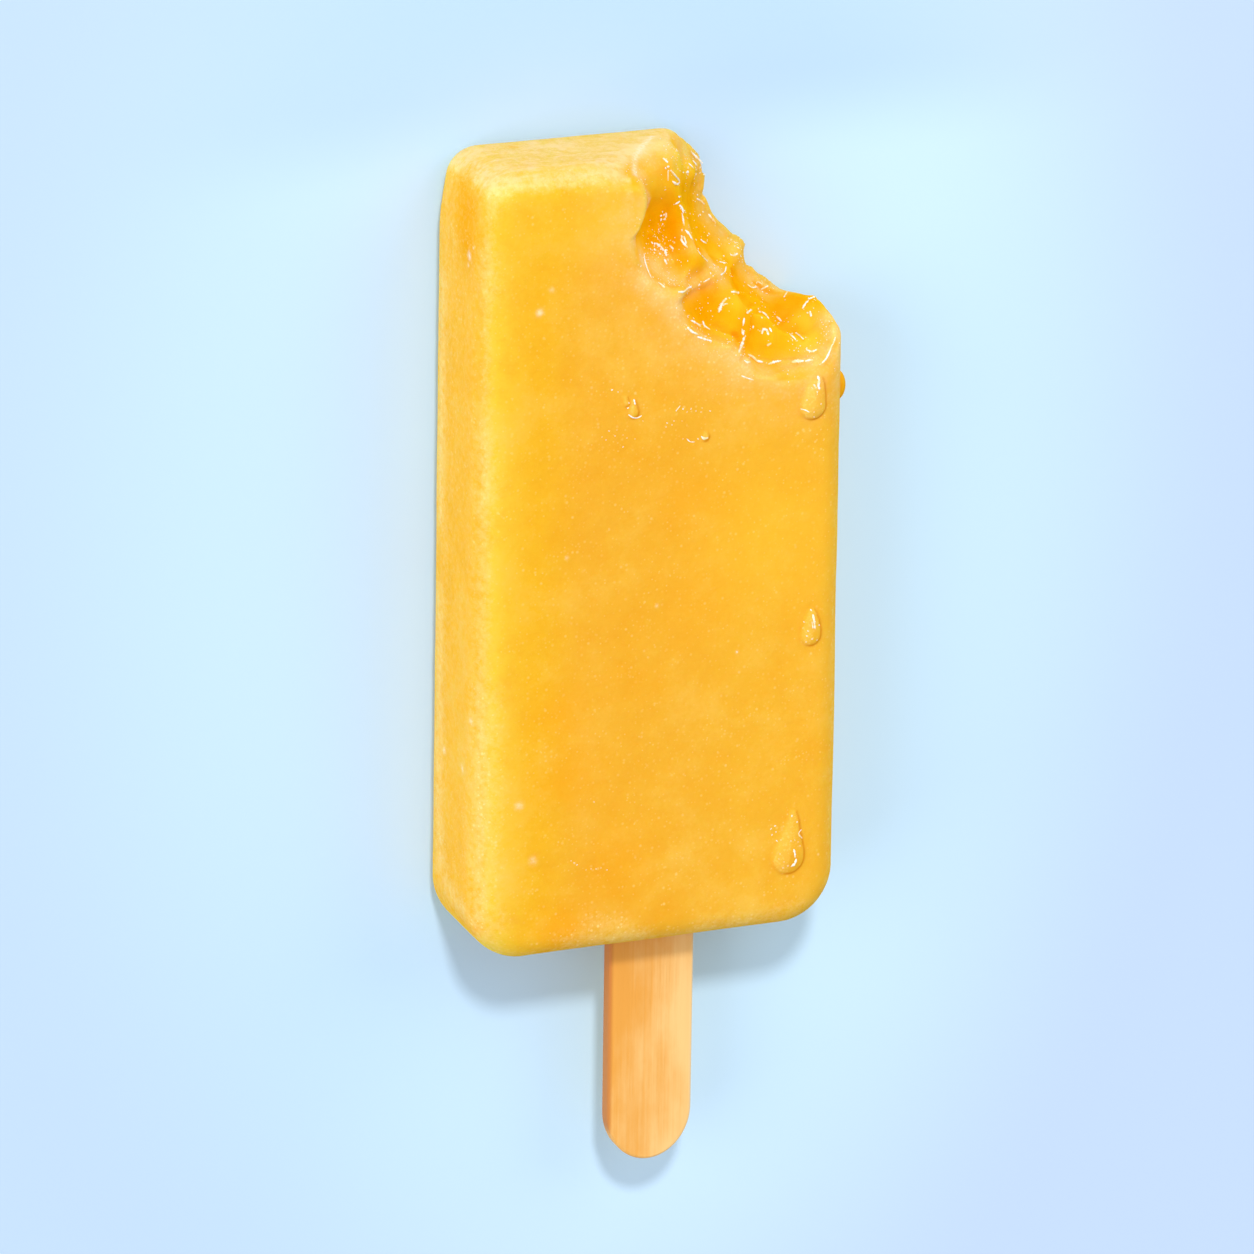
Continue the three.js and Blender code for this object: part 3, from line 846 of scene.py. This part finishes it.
def make_bar():
    """The bar, with how strongly each of its material's looks shows at each point."""
    x, y = FOOT_WIDTH / 2 + GRID_MARGIN, BAR_LENGTH / 2 + GRID_MARGIN
    front = BAR_THICKNESS + GRID_MARGIN
    verts, tris = grid_surface(ice, (-x, -y, -GRID_MARGIN), (x, y, front), GRID_SIZE)
    verts = settle(ice, project(ice, verts, 2), tris, SETTLE_ROUNDS)
    chips = seen_points(plain_ice, [chip[:2] for chip in CHIPS])
    for reach in FINE_REACHES:
        middle = verts[tris].mean(axis=1)
        near = (np.abs(bite(middle)) < reach) | (drops(middle) < 0.4 * reach)
        for chip in chips:
            near |= np.linalg.norm(middle - chip, axis=1) < 0.5 + 0.4 * reach
        near |= lined(middle, CHIP_LINES, 2) > 0.05
        verts, tris = refine(verts, tris, near)
        verts = settle(ice, verts, tris, SETTLE_ROUNDS)
    tilt = outward(block, verts)
    flat = face_drops(verts)[1]
    sideways = slope(lambda p: face_drops(p)[1], verts)[1][:, :2] @ np.array(DROP_SHADE)
    shaded = 0.12 + 0.88 * smooth_step(0.1, 0.8, sideways)
    from_bite = bite(verts)
    # Painted light: the bite's rim low by the floor is paled, against the floor's bluish bounce
    # light.
    low_rim_painted_light = smooth_step(3.0, 0.8, verts[:, 2]) * smooth_step(2.0, 0.6, np.abs(from_bite))
    # The wall and the rim of the bite are wet, and the block's own faces beside them aren't.
    under_face = block(verts)
    wall = smooth_step(-0.3, -1.2, under_face)
    rim = smooth_step(0.6, 0.15, np.abs(from_bite)) * smooth_step(-0.08, -0.3, under_face)
    outside = verts + HOLLOW_REACH * outward(plain_ice, verts)
    attributes = {
        "painted_light_yellow": painted(verts, PAINTED_LIGHT_SPOTS),
        "frost": frosting(verts),
        "grainy": lined(verts, GRAIN_LINES),
        "chip": np.maximum(painted(verts, CHIPS), lined(verts, CHIP_LINES, 2)),
        "dark": painted(verts, DARK_SPOTS),
        "top_face": smooth_step(0.4, 0.8, tilt[:, 1]),
        "side_face": smooth_step(0.5, 0.9, np.abs(tilt[:, 0])),
        "wet": np.maximum(rim, wall),
        "from_bite": from_bite * (1 - wall),
        "far_side": smooth_step(0.8, 1.0, np.maximum(tilt[:, 0], -tilt[:, 1])),
        "hollow": 1 - plain_ice(outside) / HOLLOW_REACH,
        "drop": smooth_step(0.25, -0.1, drops(verts)),
        # Painted shade on one side of each drop's rim, painted light in its middle.
        "drop_rim_painted_shade": smooth_step(0.28, 0.0, np.abs(flat + 0.05)) * shaded,
        "drop_middle_painted_light": smooth_step(0.1, -0.4, flat) * (1 - shaded),
        # Painted shade: deep orange in the bite's pockets and creases, and on the drop on the
        # side.
        "deep_painted_shade": np.maximum.reduce([
            painted(verts, DEEP_SHADE_SPOTS),
            lined(verts, DEEP_SHADE_LINES, 2),
            0.8 * smooth_step(0.25, 0.0, side_drop(verts)),
        ]),
        "pale": np.maximum(painted(verts, PALE_FROST_AND_LIGHT_SPOTS), 0.35 * low_rim_painted_light),
    }
    return add_mesh("ice_bar_frosted", verts, tris, attributes)


def ring_faces(rings, sides):
    """The faces between rings of points that lie one after the other."""
    faces = []
    for i in range(rings - 1):
        for k in range(sides):
            a, b = i * sides + k, i * sides + (k + 1) % sides
            faces.append((a, b, b + sides, a + sides))
    return faces


def tube(line, normals, radius, random):
    """A bead drawn along a line, uneven and thinner towards its ends, as points and faces."""
    if len(line) == 1:
        turn = random.uniform(0, math.pi)
        side = unit(np.cross(normals[0], UP * math.cos(turn) + RIGHT * math.sin(turn)))
        reach = radius * random.uniform(0.1, 0.9)
        line = line[0] + np.linspace(-reach, reach, 3)[:, None] * side
        normals = np.repeat(normals, 3, axis=0)
    ahead = unit_rows(np.gradient(line, axis=0))
    line = np.concatenate([[line[0] - ahead[0] * radius], line, [line[-1] + ahead[-1] * radius]])
    ahead = np.concatenate([ahead[:1], ahead, ahead[-1:]])
    normals = np.concatenate([normals[:1], normals, normals[-1:]])
    rows = 2 * len(line) + 5
    share = (1 - np.cos(np.linspace(0, math.pi, rows))) / 2
    at = share * (len(line) - 1)
    places = np.arange(len(line))
    centres, ways, outs = (between(at, places, values) for values in (line, ahead, normals))
    knots = 5 + len(line)
    wave = np.interp(share, np.linspace(0, 1, knots), random.uniform(-1, 1, knots))
    wave = 1 + GLINT_UNEVENNESS * wave
    size = radius * wave * np.sqrt(np.maximum(1 - (2 * share - 1) ** 2, 0)) ** 0.6
    across = unit_rows(np.cross(ways, outs))
    outs = unit_rows(np.cross(across, ways))
    turns = np.linspace(0, 2 * math.pi, GLINT_SIDES, endpoint=False)[None, :, None]
    section = np.cos(turns) * across[:, None] + GLINT_HEIGHT * np.sin(turns) * outs[:, None]
    rings = centres[:, None] + size[:, None, None] * section
    return rings.reshape(-1, 3), ring_faces(rows, GLINT_SIDES)


def make_glints():
    """Painted highlights: white beads and threads where the wet bite and drops catch the light."""
    random = np.random.default_rng(21)
    verts, faces = [], []
    count = 0
    dots = tuple((radius, pixel) for radius, line in DOTS for pixel in np.reshape(line, (-1, 2)))
    strays = tuple(
        (random.uniform(*STRAY_RADII), line[:2] + random.normal(0, STRAY_REACH, 2))
        for _, line in GLINTS
        if line[1] < STRAYS_ABOVE
    )
    beads = GLINTS + dots + strays
    for (radius, _), (at, out) in zip(beads, seen_lines(ice, [b[1] for b in beads], 1.0)):
        gaps = np.linalg.norm(np.diff(at, axis=0), axis=1)
        for piece in np.split(np.arange(len(at)), np.where(gaps > GLINT_GAP)[0] + 1):
            size = GLINT_SIZE * radius
            part, quads = tube(at[piece] + out[piece] * size * 0.1, out[piece], size, random)
            # A stray bead whose sight line passes the bar by lands nowhere, and is left out.
            if not np.isfinite(part).all():
                continue
            verts.append(part)
            faces += [tuple(count + i for i in quad) for quad in quads]
            count += len(part)
    made = add_mesh("painted_highlight_beads", np.concatenate(verts), faces)
    weld(made)
    return made


def make_specks(bar):
    """Grains of frost and painted sparkle over the bite and its rim, thicker in its frosty places.
    """
    random = np.random.default_rng(8)
    count = len(bar.data.vertices)
    at = np.empty(3 * count)
    bar.data.vertices.foreach_get("co", at)
    at = at.reshape(-1, 3) / MM
    clump = smooth_step(0.0, 0.5, noise(at, 1.6, 11))
    weight = smooth_step(1.6, 0.2, np.abs(bite(at))) * (0.03 + clump)
    weight += 2.5 * painted(at, FROST_SPOTS)
    chosen = random.choice(count, SPECK_COUNT, replace=False, p=weight / weight.sum())
    sides = SPECK_SIDES
    turns = np.linspace(0, 2 * math.pi, sides, endpoint=False)
    verts, faces = [], []
    for place, normal in zip(at[chosen], outward(ice, at[chosen])):
        size = SPECK_RADIUS * random.uniform(*SPECK_SIZES)
        across = unit(np.cross(normal, RIGHT))
        along = np.cross(normal, across)
        ring = [place + size * (math.cos(t) * across + math.sin(t) * along) for t in turns]
        ring_up = [v + normal * size * 0.55 - (v - place) * 0.25 for v in ring]
        first = len(verts)
        top, bottom = first + 2 * sides, first + 2 * sides + 1
        verts += ring + ring_up + [place + normal * size * 0.8, place - normal * size * 0.5]
        for j in range(sides):
            a, b = first + j, first + (j + 1) % sides
            faces += [(a, b, b + sides, a + sides), (a + sides, b + sides, top), (b, a, bottom)]
    return add_mesh("frost_and_sparkle_specks", np.array(verts), faces)


def stick_outline():
    """Half widths and places along the stick of the outline's right side, from tip to end."""
    low = -BAR_LENGTH / 2 - STICK_SHOWN
    high = low + STICK_LENGTH
    half = STICK_WIDTH / 2
    turns = np.linspace(0, math.pi / 2, STICK_END_STEPS)
    ends = [(half * math.sin(a), STICK_END_LENGTH * (1 - math.cos(a))) for a in turns]
    near = [(w, low + y) for w, y in ends]
    far = [(w, high - y) for w, y in ends[::-1]]
    straight = np.linspace(low + STICK_END_LENGTH, high - STICK_END_LENGTH, STICK_STEPS + 2)
    return np.array(near + [(half, y) for y in straight[1:-1]] + far)


def make_stick():
    outline = stick_outline()
    tangent = np.gradient(outline, axis=0)
    normal = unit_rows(np.stack([tangent[:, 1], -tangent[:, 0]], 1))
    normal[0], normal[-1] = (0, -1), (0, 1)
    r = STICK_EDGE_RADIUS
    arc = np.linspace(0, math.pi / 2, STICK_EDGE_STEPS)
    # Each side's edge, from one face to the side and on to the other face.
    edge = [(a, 1) for a in arc] + [(a, -1) for a in arc[::-1][:-1]]
    verts = []
    for (w, y), n in zip(outline, normal):
        ring = []
        inner = np.array([max(w - n[0] * r, 0), y - n[1] * r])
        for side in (1, -1):
            for k in range(STICK_COLUMNS):
                share = 1 - 2 * k / STICK_COLUMNS
                ring.append((-side * share * inner[0], inner[1], side * STICK_THICKNESS / 2))
            for a, face in edge:
                lift = STICK_THICKNESS / 2 - r + r * math.cos(a)
                at = inner + n * r * math.sin(a)
                ring.append((side * at[0], at[1], face * side * lift))
        verts += [(STICK_OFFSET + x, along, BAR_THICKNESS / 2 + z) for x, along, z in ring]
    verts = np.array(verts)
    # The right edge is pressed in a little where the stick enters the ice.
    nick = NICK_DEPTH * np.exp(-(((verts[:, 1] - NICK_PLACE) / NICK_LENGTH) ** 2))
    across = (verts[:, 0] - STICK_OFFSET) / (STICK_WIDTH / 2)
    verts[:, 0] -= nick * smooth_step(*NICK_WIDTH, across)
    made = add_mesh("stick_wood", verts, ring_faces(len(outline), len(ring)))
    weld(made)
    return made


# --- materials ------------------------------------------------------------------------------

# Colours, as sRGB. Those of the ice go from its left edge inwards, and then to its other sides.
LEFT_STRIP_PAINTED_GLOW = (240, 196, 56)
LEFT_FRONT = (240, 182, 40)
MIDDLE_FRONT = (239, 176, 50)
RIGHT_FRONT = (240, 179, 50)
TOP_FRONT_PAINTED_GLOW = (241, 190, 48)
LEFT_SIDE = (253, 178, 46)
FAR_SIDE = (255, 172, 42)
PALER_ICE = (246, 200, 88)
DEEPER_ICE = (236, 160, 26)
DARK_ICE = (246, 164, 22)
FROST_FRONT = (255, 218, 136)
FROST_TOP_SHADED = (252, 208, 136)
WET_ICE = (255, 173, 2)
PAINTED_LIGHT_ICE = (255, 202, 50)
PALE_FROST_AND_LIT_ICE = (254, 211, 140)
DEEP_SHADE_ICE = (240, 158, 0)
FROST_CHIP = (255, 236, 200)
DROP_MIDDLE_PAINTED_LIGHT = (252, 207, 102)
DROP_RIM_PAINTED_SHADE = (224, 136, 12)
BEAD_DULL = (255, 222, 150)
BEAD_BRIGHT = (255, 252, 238)
WOOD_DEEP = (238, 164, 62)
WOOD_PALE = (252, 203, 126)
WOOD_RIGHT_EDGE_HIGHLIGHT = (255, 226, 178)
WOOD_LEFT_EDGE_SHADE = (198, 116, 36)
FLOOR_NEAR_LEFT = (199, 229, 253)
FLOOR_NEAR_RIGHT = (207, 237, 254)
FLOOR_ABOVE_PAINTED_SHADE = (188, 217, 245)
FLOOR_FAR_LEFT = (193, 216, 239)
FLOOR_FAR_RIGHT = (195, 215, 239)
SKY = (238, 246, 255)


class Nodes:
    """A short way to build one material's nodes. Lengths are in millimetres, colours are sRGB."""

    def __init__(self, name):
        self.material = bpy.data.materials.new(name)
        self.material.use_nodes = True
        self.tree = self.material.node_tree
        self.tree.nodes.clear()
        self.shader = self.add("ShaderNodeBsdfPrincipled")
        out = self.add("ShaderNodeOutputMaterial")
        self.link(self.shader.outputs[0], out.inputs[0])
        self.place = self.add("ShaderNodeTexCoord").outputs["Object"]

    def add(self, kind, **settings):
        node = self.tree.nodes.new(kind)
        for key, value in settings.items():
            setattr(node, key, value)
        return node

    def link(self, source, target):
        self.tree.links.new(source, target)

    def put(self, target, value):
        if isinstance(value, bpy.types.NodeSocket):
            self.link(value, target)
        elif isinstance(value, tuple):
            target.default_value = linear(value)
        else:
            target.default_value = value

    def set(self, **values):
        """Sets the shader's inputs, named with _ for each space."""
        for key, value in values.items():
            self.put(self.shader.inputs[key.replace("_", " ")], value)

    def math(self, operation, a, b, clamp=False):
        node = self.add("ShaderNodeMath", operation=operation, use_clamp=clamp)
        self.put(node.inputs[0], a)
        self.put(node.inputs[1], b)
        return node.outputs[0]

    def plus(self, a, b):
        return self.math("ADD", a, b)

    def minus(self, a, b):
        return self.math("SUBTRACT", a, b)

    def times(self, a, b, clamp=False):
        return self.math("MULTIPLY", a, b, clamp)

    def most(self, a, b):
        return self.math("MAXIMUM", a, b)

    def ramp(self, value, low, high, to_low=0.0, to_high=1.0):
        node = self.add("ShaderNodeMapRange", interpolation_type="SMOOTHSTEP")
        for socket, item in zip(node.inputs, (value, low, high, to_low, to_high)):
            self.put(socket, item)
        return node.outputs[0]

    def along(self, axis, low, high, to_low=0.0, to_high=1.0):
        """A ramp between two places along x or y."""
        return self.ramp(axis, low * MM, high * MM, to_low, to_high)

    def mix(self, share, a, b):
        node = self.add("ShaderNodeMix", data_type="RGBA")
        for socket, item in zip((node.inputs[0], node.inputs[6], node.inputs[7]), (share, a, b)):
            self.put(socket, item)
        return node.outputs[2]

    def attribute(self, name):
        return self.add("ShaderNodeAttribute", attribute_name=name).outputs["Fac"]

    def across(self):
        """The x and y of each place."""
        split = self.add("ShaderNodeSeparateXYZ")
        self.link(self.place, split.inputs[0])
        return split.outputs[0], split.outputs[1]

    def stretched(self, scale):
        node = self.add("ShaderNodeMapping")
        self.link(self.place, node.inputs["Vector"])
        node.inputs["Scale"].default_value = scale
        return node.outputs[0]

    def texture(self, kind, size, at=None):
        node = self.add(kind)
        self.link(at or self.place, node.inputs["Vector"])
        node.inputs["Scale"].default_value = 1 / (size * MM)
        return node

    def noise(self, size, detail=3.0, rough=0.5, at=None):
        node = self.texture("ShaderNodeTexNoise", size, at)
        node.inputs["Detail"].default_value = detail
        node.inputs["Roughness"].default_value = rough
        return node.outputs[0]

    def drift(self, size, detail, rough, strength):
        """Noise from about -strength / 2 to strength / 2."""
        return self.times(self.minus(self.noise(size, detail, rough), 0.5), strength)

    def dots(self, size):
        """Soft dots of uneven strength, one in each cell of the given size."""
        node = self.texture("ShaderNodeTexVoronoi", size)
        split = self.add("ShaderNodeSeparateColor")
        self.link(node.outputs["Color"], split.inputs[0])
        spot = self.ramp(node.outputs["Distance"], 0.34, 0.08)
        return self.times(spot, self.ramp(split.outputs[0], 0.35, 1.0))

    def bump(self, height, depth, before=None):
        node = self.add("ShaderNodeBump")
        node.inputs["Distance"].default_value = depth * MM
        self.link(height, node.inputs["Height"])
        if before:
            self.link(before, node.inputs["Normal"])
        return node.outputs[0]


def ice_material():
    n = Nodes("fruit_ice")
    x, y = n.across()
    # Across the face: a yellow strip by the left edge, then orange, and yellower at the top. The
    # yellow strip and the yellower top are painted light, as if let through the thin edges.
    colour = n.mix(n.along(x, -19.5, -14.5), LEFT_STRIP_PAINTED_GLOW, LEFT_FRONT)
    colour = n.mix(n.along(x, -15, -8.5), colour, MIDDLE_FRONT)
    colour = n.mix(n.along(x, 2, 11), colour, RIGHT_FRONT)
    colour = n.mix(n.along(y, 31, 40, 0.0, 0.8), colour, TOP_FRONT_PAINTED_GLOW)
    colour = n.mix(n.along(x, -19.5, -20.8), colour, LEFT_SIDE)
    colour = n.mix(n.attribute("far_side"), colour, FAR_SIDE)
    # Soft drifts and mottling, stronger towards the foot.
    foot = n.along(y, -24, -38)
    drifts = n.drift(14, 2, 0.5, 0.9)
    mottle = n.drift(5, 5, 0.8, 1.7)
    blotch = n.drift(6, 2, 0.5, n.times(foot, 1.5))
    shift = n.plus(n.plus(drifts, mottle), blotch)
    colour = n.mix(n.times(shift, 1.0, clamp=True), colour, PALER_ICE)
    colour = n.mix(n.times(shift, -1.0, clamp=True), colour, DEEPER_ICE)
    colour = n.mix(n.attribute("dark"), colour, DARK_ICE)
    # Fine grains, thicker in the grainy places and near the bite, and in soft clouds elsewhere.
    clouds = n.ramp(n.noise(3.2, 4, 0.6), 0.45, 0.7, 0.25, 0.6)
    grains = n.most(n.dots(0.42), n.dots(0.7))
    from_bite = n.attribute("from_bite")
    halo = n.times(n.ramp(from_bite, 4.0, 0.6, 0.0, 0.5), n.ramp(from_bite, 0.0, 0.7))
    haze = n.times(n.ramp(from_bite, 8.0, 1.0, 0.0, 0.25), n.ramp(from_bite, 0.0, 0.8))
    halo = n.most(halo, haze)
    grainy = n.most(clouds, n.most(n.attribute("grainy"), halo))
    grains = n.times(n.times(grains, grainy), 0.85)
    # Frost, uneven, with streaks along the top and down the sides.
    wet = n.attribute("wet")
    dry = n.minus(1.0, wet)
    frost = n.attribute("frost")
    uneven = n.ramp(n.noise(1.1, 5, 0.68), 0.3, 0.7, 0.55, 1.35)
    along_top = n.ramp(n.noise(0.55, 4, 0.6, n.stretched((0.16, 0.6, 1.0))), 0.5, 0.66)
    down_side = n.ramp(n.noise(0.5, 4, 0.6, n.stretched((1.0, 0.12, 1.0))), 0.5, 0.68)
    along_top = n.times(along_top, n.attribute("top_face"))
    down_side = n.times(down_side, n.attribute("side_face"))
    streaks = n.times(n.plus(along_top, n.times(down_side, 0.5)), 0.5)
    bare = n.ramp(n.attribute("dark"), 0.0, 1.0, 1.0, 0.25)
    coarse = n.plus(n.ramp(frost, 0.0, 0.15, 0.0, 0.8), frost)
    rough = n.drift(0.7, 3, 0.8, coarse)
    frost = n.plus(n.times(n.times(frost, uneven), bare), n.times(streaks, frost))
    frost = n.plus(n.plus(frost, grains), rough)
    frost = n.times(n.math("MINIMUM", n.most(frost, 0.0), 0.95), dry)
    # Frost on the top face is tinted darker, painted shade against the key light falling on it.
    colour = n.mix(frost, colour, n.mix(n.attribute("top_face"), FROST_FRONT, FROST_TOP_SHADED))
    # The wet bite: clear yellow places of painted light, whitish ones of frost and painted light,
    # deep orange painted shade in its hollows and pockets, and the halo round it.
    colour = n.mix(n.times(wet, 0.9), colour, WET_ICE)
    # Painted light: clear yellow where light shines through the bite's lobes.
    painted_light_yellow = n.attribute("painted_light_yellow")
    colour = n.mix(painted_light_yellow, colour, PAINTED_LIGHT_ICE)
    # Painted shade: deeper orange in the hollows of the wet bite.
    deep_painted_shade = n.times(n.ramp(n.attribute("hollow"), 0.15, 0.8, 0.0, 0.4), wet)
    deep_painted_shade = n.most(n.times(deep_painted_shade, n.minus(1.0, painted_light_yellow)), n.attribute("deep_painted_shade"))
    speck = n.ramp(n.noise(0.3, 2, 0.5), 0.5, 0.66)
    cloud = n.ramp(n.noise(2.2, 4, 0.6), 0.35, 0.62, 0.35, 1.0)
    # Whitish places, partly frost and partly painted light on shaded walls and the low rim.
    pale = n.most(n.attribute("pale"), n.times(halo, cloud))
    pale = n.times(pale, n.minus(1.0, deep_painted_shade))
    pale = n.times(pale, n.plus(0.65, n.times(speck, 0.35)))
    colour = n.mix(pale, colour, PALE_FROST_AND_LIT_ICE)
    colour = n.mix(deep_painted_shade, colour, DEEP_SHADE_ICE)
    # Chips of frost under the surface, and the drops' rims and middles: painted shade on one side
    # of each rim, and painted light in the middle, as if light were bent through the drop.
    grit = n.ramp(n.noise(0.35, 2, 0.6), 0.35, 0.6, 0.4, 1.0)
    colour = n.mix(n.times(n.attribute("chip"), grit), colour, FROST_CHIP)
    fill = n.times(n.attribute("drop_middle_painted_light"), n.ramp(speck, 0.0, 1.0, 0.3, 0.75))
    colour = n.mix(fill, colour, DROP_MIDDLE_PAINTED_LIGHT)
    colour = n.mix(n.times(n.attribute("drop_rim_painted_shade"), 0.75), colour, DROP_RIM_PAINTED_SHADE)
    slick = n.most(wet, n.attribute("drop"))
    fine = n.bump(n.noise(0.5, 4, 0.6), 0.05)
    n.set(
        Base_Color=colour,
        Roughness=n.ramp(slick, 0.2, 0.8, 0.42, 0.16),
        Normal=n.bump(n.noise(2.5, 3), 0.12, fine),
        IOR=1.31,
        Specular_IOR_Level=0.0,
        Subsurface_Weight=0.45,
        Subsurface_Scale=0.005,
    )
    n.shader.inputs["Subsurface Radius"].default_value = (1.0, 0.5, 0.12)
    return n.material


def bead_material():
    # Near white, for the painted highlights and for the grains of frost.
    n = Nodes("highlight_and_frost_bead")
    tint = n.mix(n.ramp(n.noise(0.8, 2), 0.35, 0.6), BEAD_DULL, BEAD_BRIGHT)
    n.set(Base_Color=tint, Roughness=0.12, IOR=1.45)
    return n.material


def wood_material():
    n = Nodes("stick_wood")
    x, y = n.across()
    across = n.math("DIVIDE", n.minus(x, STICK_OFFSET * MM), STICK_WIDTH / 2 * MM)
    foot = -BAR_LENGTH / 2
    near_ice = n.along(y, foot - 14, foot - 2)
    grain = n.noise(0.5, 4, 0.6, n.stretched((1.0, 0.03, 1.0)))
    blotch = n.noise(4, 4, 0.55, n.stretched((1.0, 0.4, 1.0)))
    share = n.plus(n.times(grain, 0.35), n.times(blotch, 0.65))
    # Painted light: paler towards the right edge.
    share = n.plus(share, n.times(across, 0.16))
    share = n.minus(share, n.times(near_ice, 0.1))
    colour = n.mix(n.ramp(share, 0.28, 0.72), WOOD_DEEP, WOOD_PALE)
    # Painted highlight on the right edge, painted shade on the left edge, partly its darker grain.
    colour = n.mix(n.ramp(across, 0.9, 1.0, 0.0, 0.6), colour, WOOD_RIGHT_EDGE_HIGHLIGHT)
    colour = n.mix(n.ramp(across, -0.88, -0.985, 0.0, 0.9), colour, WOOD_LEFT_EDGE_SHADE)
    n.set(Base_Color=colour, Roughness=0.6, Normal=n.bump(grain, 0.06))
    return n.material


def floor_material():
    n = Nodes("floor_pale")
    # Painted light and shade: paler near the bar and on its right, darker above its top.
    apart = n.add("ShaderNodeVectorMath", operation="LENGTH")
    n.link(n.stretched((1.4, 0.9, 1.0)), apart.inputs[0])
    far = n.along(apart.outputs["Value"], 50, 110)
    x, y = n.across()
    right = n.along(n.minus(x, n.times(y, 0.35)), -20, 30)
    above = n.times(n.along(y, 38, 50), n.minus(1.0, far))
    near_tint = n.mix(right, FLOOR_NEAR_LEFT, FLOOR_NEAR_RIGHT)
    near_tint = n.mix(above, near_tint, FLOOR_ABOVE_PAINTED_SHADE)
    far_tint = n.mix(right, FLOOR_FAR_LEFT, FLOOR_FAR_RIGHT)
    n.set(Base_Color=n.mix(far, near_tint, far_tint), Roughness=0.9, Specular_IOR_Level=0.1)
    return n.material


# --- camera, light and floor ----------------------------------------------------------------

# Each light's name, direction, size, strength and colour. All are the same distance away.
LIGHTS = (
    ("key", (-0.25, 0.84, 1.0), 0.34, 44.0, (250, 250, 255)),
    ("left_fill", (-1.0, 0.1, 0.55), 2.7, 46.0, (252, 250, 255)),
    ("right_fill", (1.0, 0.9, 0.8), 2.7, 25.0, (255, 248, 240)),
)
LIGHT_DISTANCE = 3.0
SKY_STRENGTH = 0.54
FLOOR_HALF = 3.0


def make_camera():
    middle = PHOTO_SIZE / 2
    aim = Vector(at_height([(middle, middle)], BAR_THICKNESS / 2)[0])
    place = Vector(CAMERA_PLACE)
    back = (place - aim).normalized()
    side = Vector(UP).cross(back).normalized()
    up = back.cross(side)
    data = bpy.data.cameras.new("camera")
    data.sensor_width = SENSOR
    data.lens = FOCAL_PIXELS / PHOTO_SIZE * SENSOR
    data.clip_start = 0.01
    data.clip_end = 20
    camera = bpy.data.objects.new("camera", data)
    bpy.context.scene.collection.objects.link(camera)
    turned = Matrix((side, up, back)).transposed().to_4x4()
    camera.matrix_world = Matrix.Translation(place * MM) @ turned
    bpy.context.scene.camera = camera


def add_light(name, direction, size, strength, colour):
    data = bpy.data.lights.new(name, "AREA")
    data.shape = "DISK"
    data.size = size
    data.energy = strength
    data.color = linear(colour)[:3]
    light = bpy.data.objects.new(name, data)
    back = Vector(direction).normalized()
    light.location = back * LIGHT_DISTANCE
    light.rotation_mode = "QUATERNION"
    light.rotation_quaternion = (-back).to_track_quat("-Z", "Y")
    light.visible_camera = False
    bpy.context.scene.collection.objects.link(light)


def make_stage():
    world = bpy.data.worlds.new("studio")
    world.use_nodes = True
    sky = world.node_tree.nodes["Background"]
    sky.inputs["Color"].default_value = linear(SKY)
    sky.inputs["Strength"].default_value = SKY_STRENGTH
    bpy.context.scene.world = world
    half = FLOOR_HALF
    corners = [(-half, -half, 0), (half, -half, 0), (half, half, 0), (-half, half, 0)]
    floor = add_mesh("floor", np.array(corners) / MM, [(0, 1, 2, 3)])
    floor.data.materials.append(floor_material())
    for light in LIGHTS:
        add_light(*light)
    settings = bpy.context.scene.view_settings
    settings.view_transform = "Standard"
    settings.look = "None"


make_camera()
make_stage()

bar = make_bar()
bar.data.materials.append(ice_material())
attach(bar, "root")
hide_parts("ice_bar")

# White beads of painted highlight, and grains of frost and painted sparkle.
bead_finish = bead_material()
for frost in (make_glints(), make_specks(bar)):
    frost.data.materials.append(bead_finish)
    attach(frost, "root")
    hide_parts("ice_bar")

stick = make_stick()
stick.data.materials.append(wood_material())
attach(stick, "root")
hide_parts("stick")
